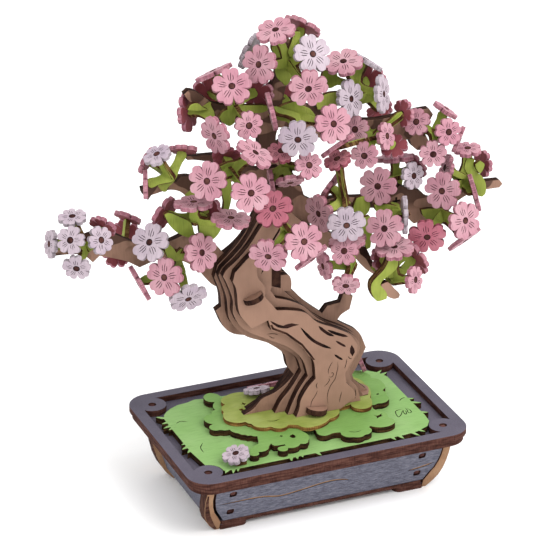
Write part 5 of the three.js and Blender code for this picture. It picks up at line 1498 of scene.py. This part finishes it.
# %% Peg ends in the tray
TRAY_PEGS = [(at(x, y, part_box("tray_rim")[1].z / MM), Vector((0, 0, 1)), 0) for x, y in BOSSES]
for node, side in (("front_panel", -1), ("back_panel", 1)):
    on_panel = leaning(node, side)
    for x, z in PANEL_PEGS:
        here, aside, above = [on_panel(side_point(x + dx, z + dz), 0) for dx, dz in ((0, 0), (1, 0), (0, 1))]
        TRAY_PEGS.append((here, (aside - here).cross(above - here).normalized() * -side, 0))
plant("tray_pegs", TRAY_PEGS, "peg", [PEG_END] * len(ZONES), [])
for blank in BLANKS.values():
    bpy.data.objects.remove(blank)
print("fallen blossoms:", len(FALLEN))

# %% [markdown]
# ## Floor, light and camera
#
# The model stands on a white table under a broad softbox above and to the right, in a bright room, so
# its shadows are faint and the table is close to pure white. The camera is a long lens from the
# front left and a little above.

# %% The table
TABLE_REACH = 3.0  # metres from its middle
floor_bm = bmesh.new()
bmesh.ops.create_grid(floor_bm, x_segments=4, y_segments=4, size=TABLE_REACH)
floor = add_object("table_top", finished_mesh(floor_bm, "table_top"))
floor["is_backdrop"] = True
paper, paper_tree, paper_shader = new_material("white table", 0.9, 0.1)
cloud = streaks(paper_tree, pattern_place(paper_tree, None), (220, 220, 220), 1.0)
dress(paper_tree, paper_shader, shades(paper_tree, cloud, [(0.3, "#fafafa"), (0.7, "#fcfcfc")]))
floor.data.materials.append(paper)

# %% Lights
ROOM_LIGHT = 1.1
SOFTBOX_SIZE, SOFTBOX_WATTS = 1.0, 14.5  # the size is in metres
FILL_SIZE, FILL_WATTS = 1.2, 4
world = bpy.data.worlds.new("studio")
bpy.context.scene.world = world
world.use_nodes = True
background = world.node_tree.nodes["Background"].inputs
background["Color"].default_value, background["Strength"].default_value = srgb("#ffffff"), ROOM_LIGHT


def soft_light(name, place, aim, size, power):
    """A square area light in the frame, aimed at a point."""
    data = bpy.data.lights.new(name, "AREA")
    data.shape, data.size, data.energy = "SQUARE", size, power
    light = add_object(name, data)
    light.location = place
    light.rotation_euler = (place - aim).to_track_quat("Z", "Y").to_euler()


TREE_MIDDLE = at(0, 0, 110)
soft_light("softbox", at(420, -620, 1150), TREE_MIDDLE, SOFTBOX_SIZE, SOFTBOX_WATTS)
soft_light("left fill", at(-900, -900, 700), TREE_MIDDLE, FILL_SIZE, FILL_WATTS)

# %% The camera
LENS, SENSOR, CLIP_END = 209.45, 36, 20
CAMERA_PLACE, CAMERA_AZIMUTH, CAMERA_ELEVATION = (-484.03, -1130.43, 683.51), -22.74, 25.42
camera_data = bpy.data.cameras.new("camera")
camera_data.lens, camera_data.sensor_width = LENS, SENSOR
camera = add_object("camera", camera_data)
camera_azimuth, camera_elevation = math.radians(CAMERA_AZIMUTH), math.radians(CAMERA_ELEVATION)
back = Vector((
    math.sin(camera_azimuth) * math.cos(camera_elevation),
    -math.cos(camera_azimuth) * math.cos(camera_elevation),
    math.sin(camera_elevation),
))
right = Vector((0, 0, 1)).cross(back).normalized()
camera.matrix_world = Matrix.Translation(at(*CAMERA_PLACE)) @ Matrix(
    (right, back.cross(right), back)
).transposed().to_4x4()
camera_data.clip_end = CLIP_END
bpy.context.scene.camera = camera
bpy.context.scene.view_settings.view_transform = "Standard"
print("camera looks along", [round(-x, 3) for x in back])

# %% Sizes
bpy.context.view_layer.update()
low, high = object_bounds()
print("visual box in mm:", [round((b - a) * 1000, 1) for a, b in zip(low, high)])
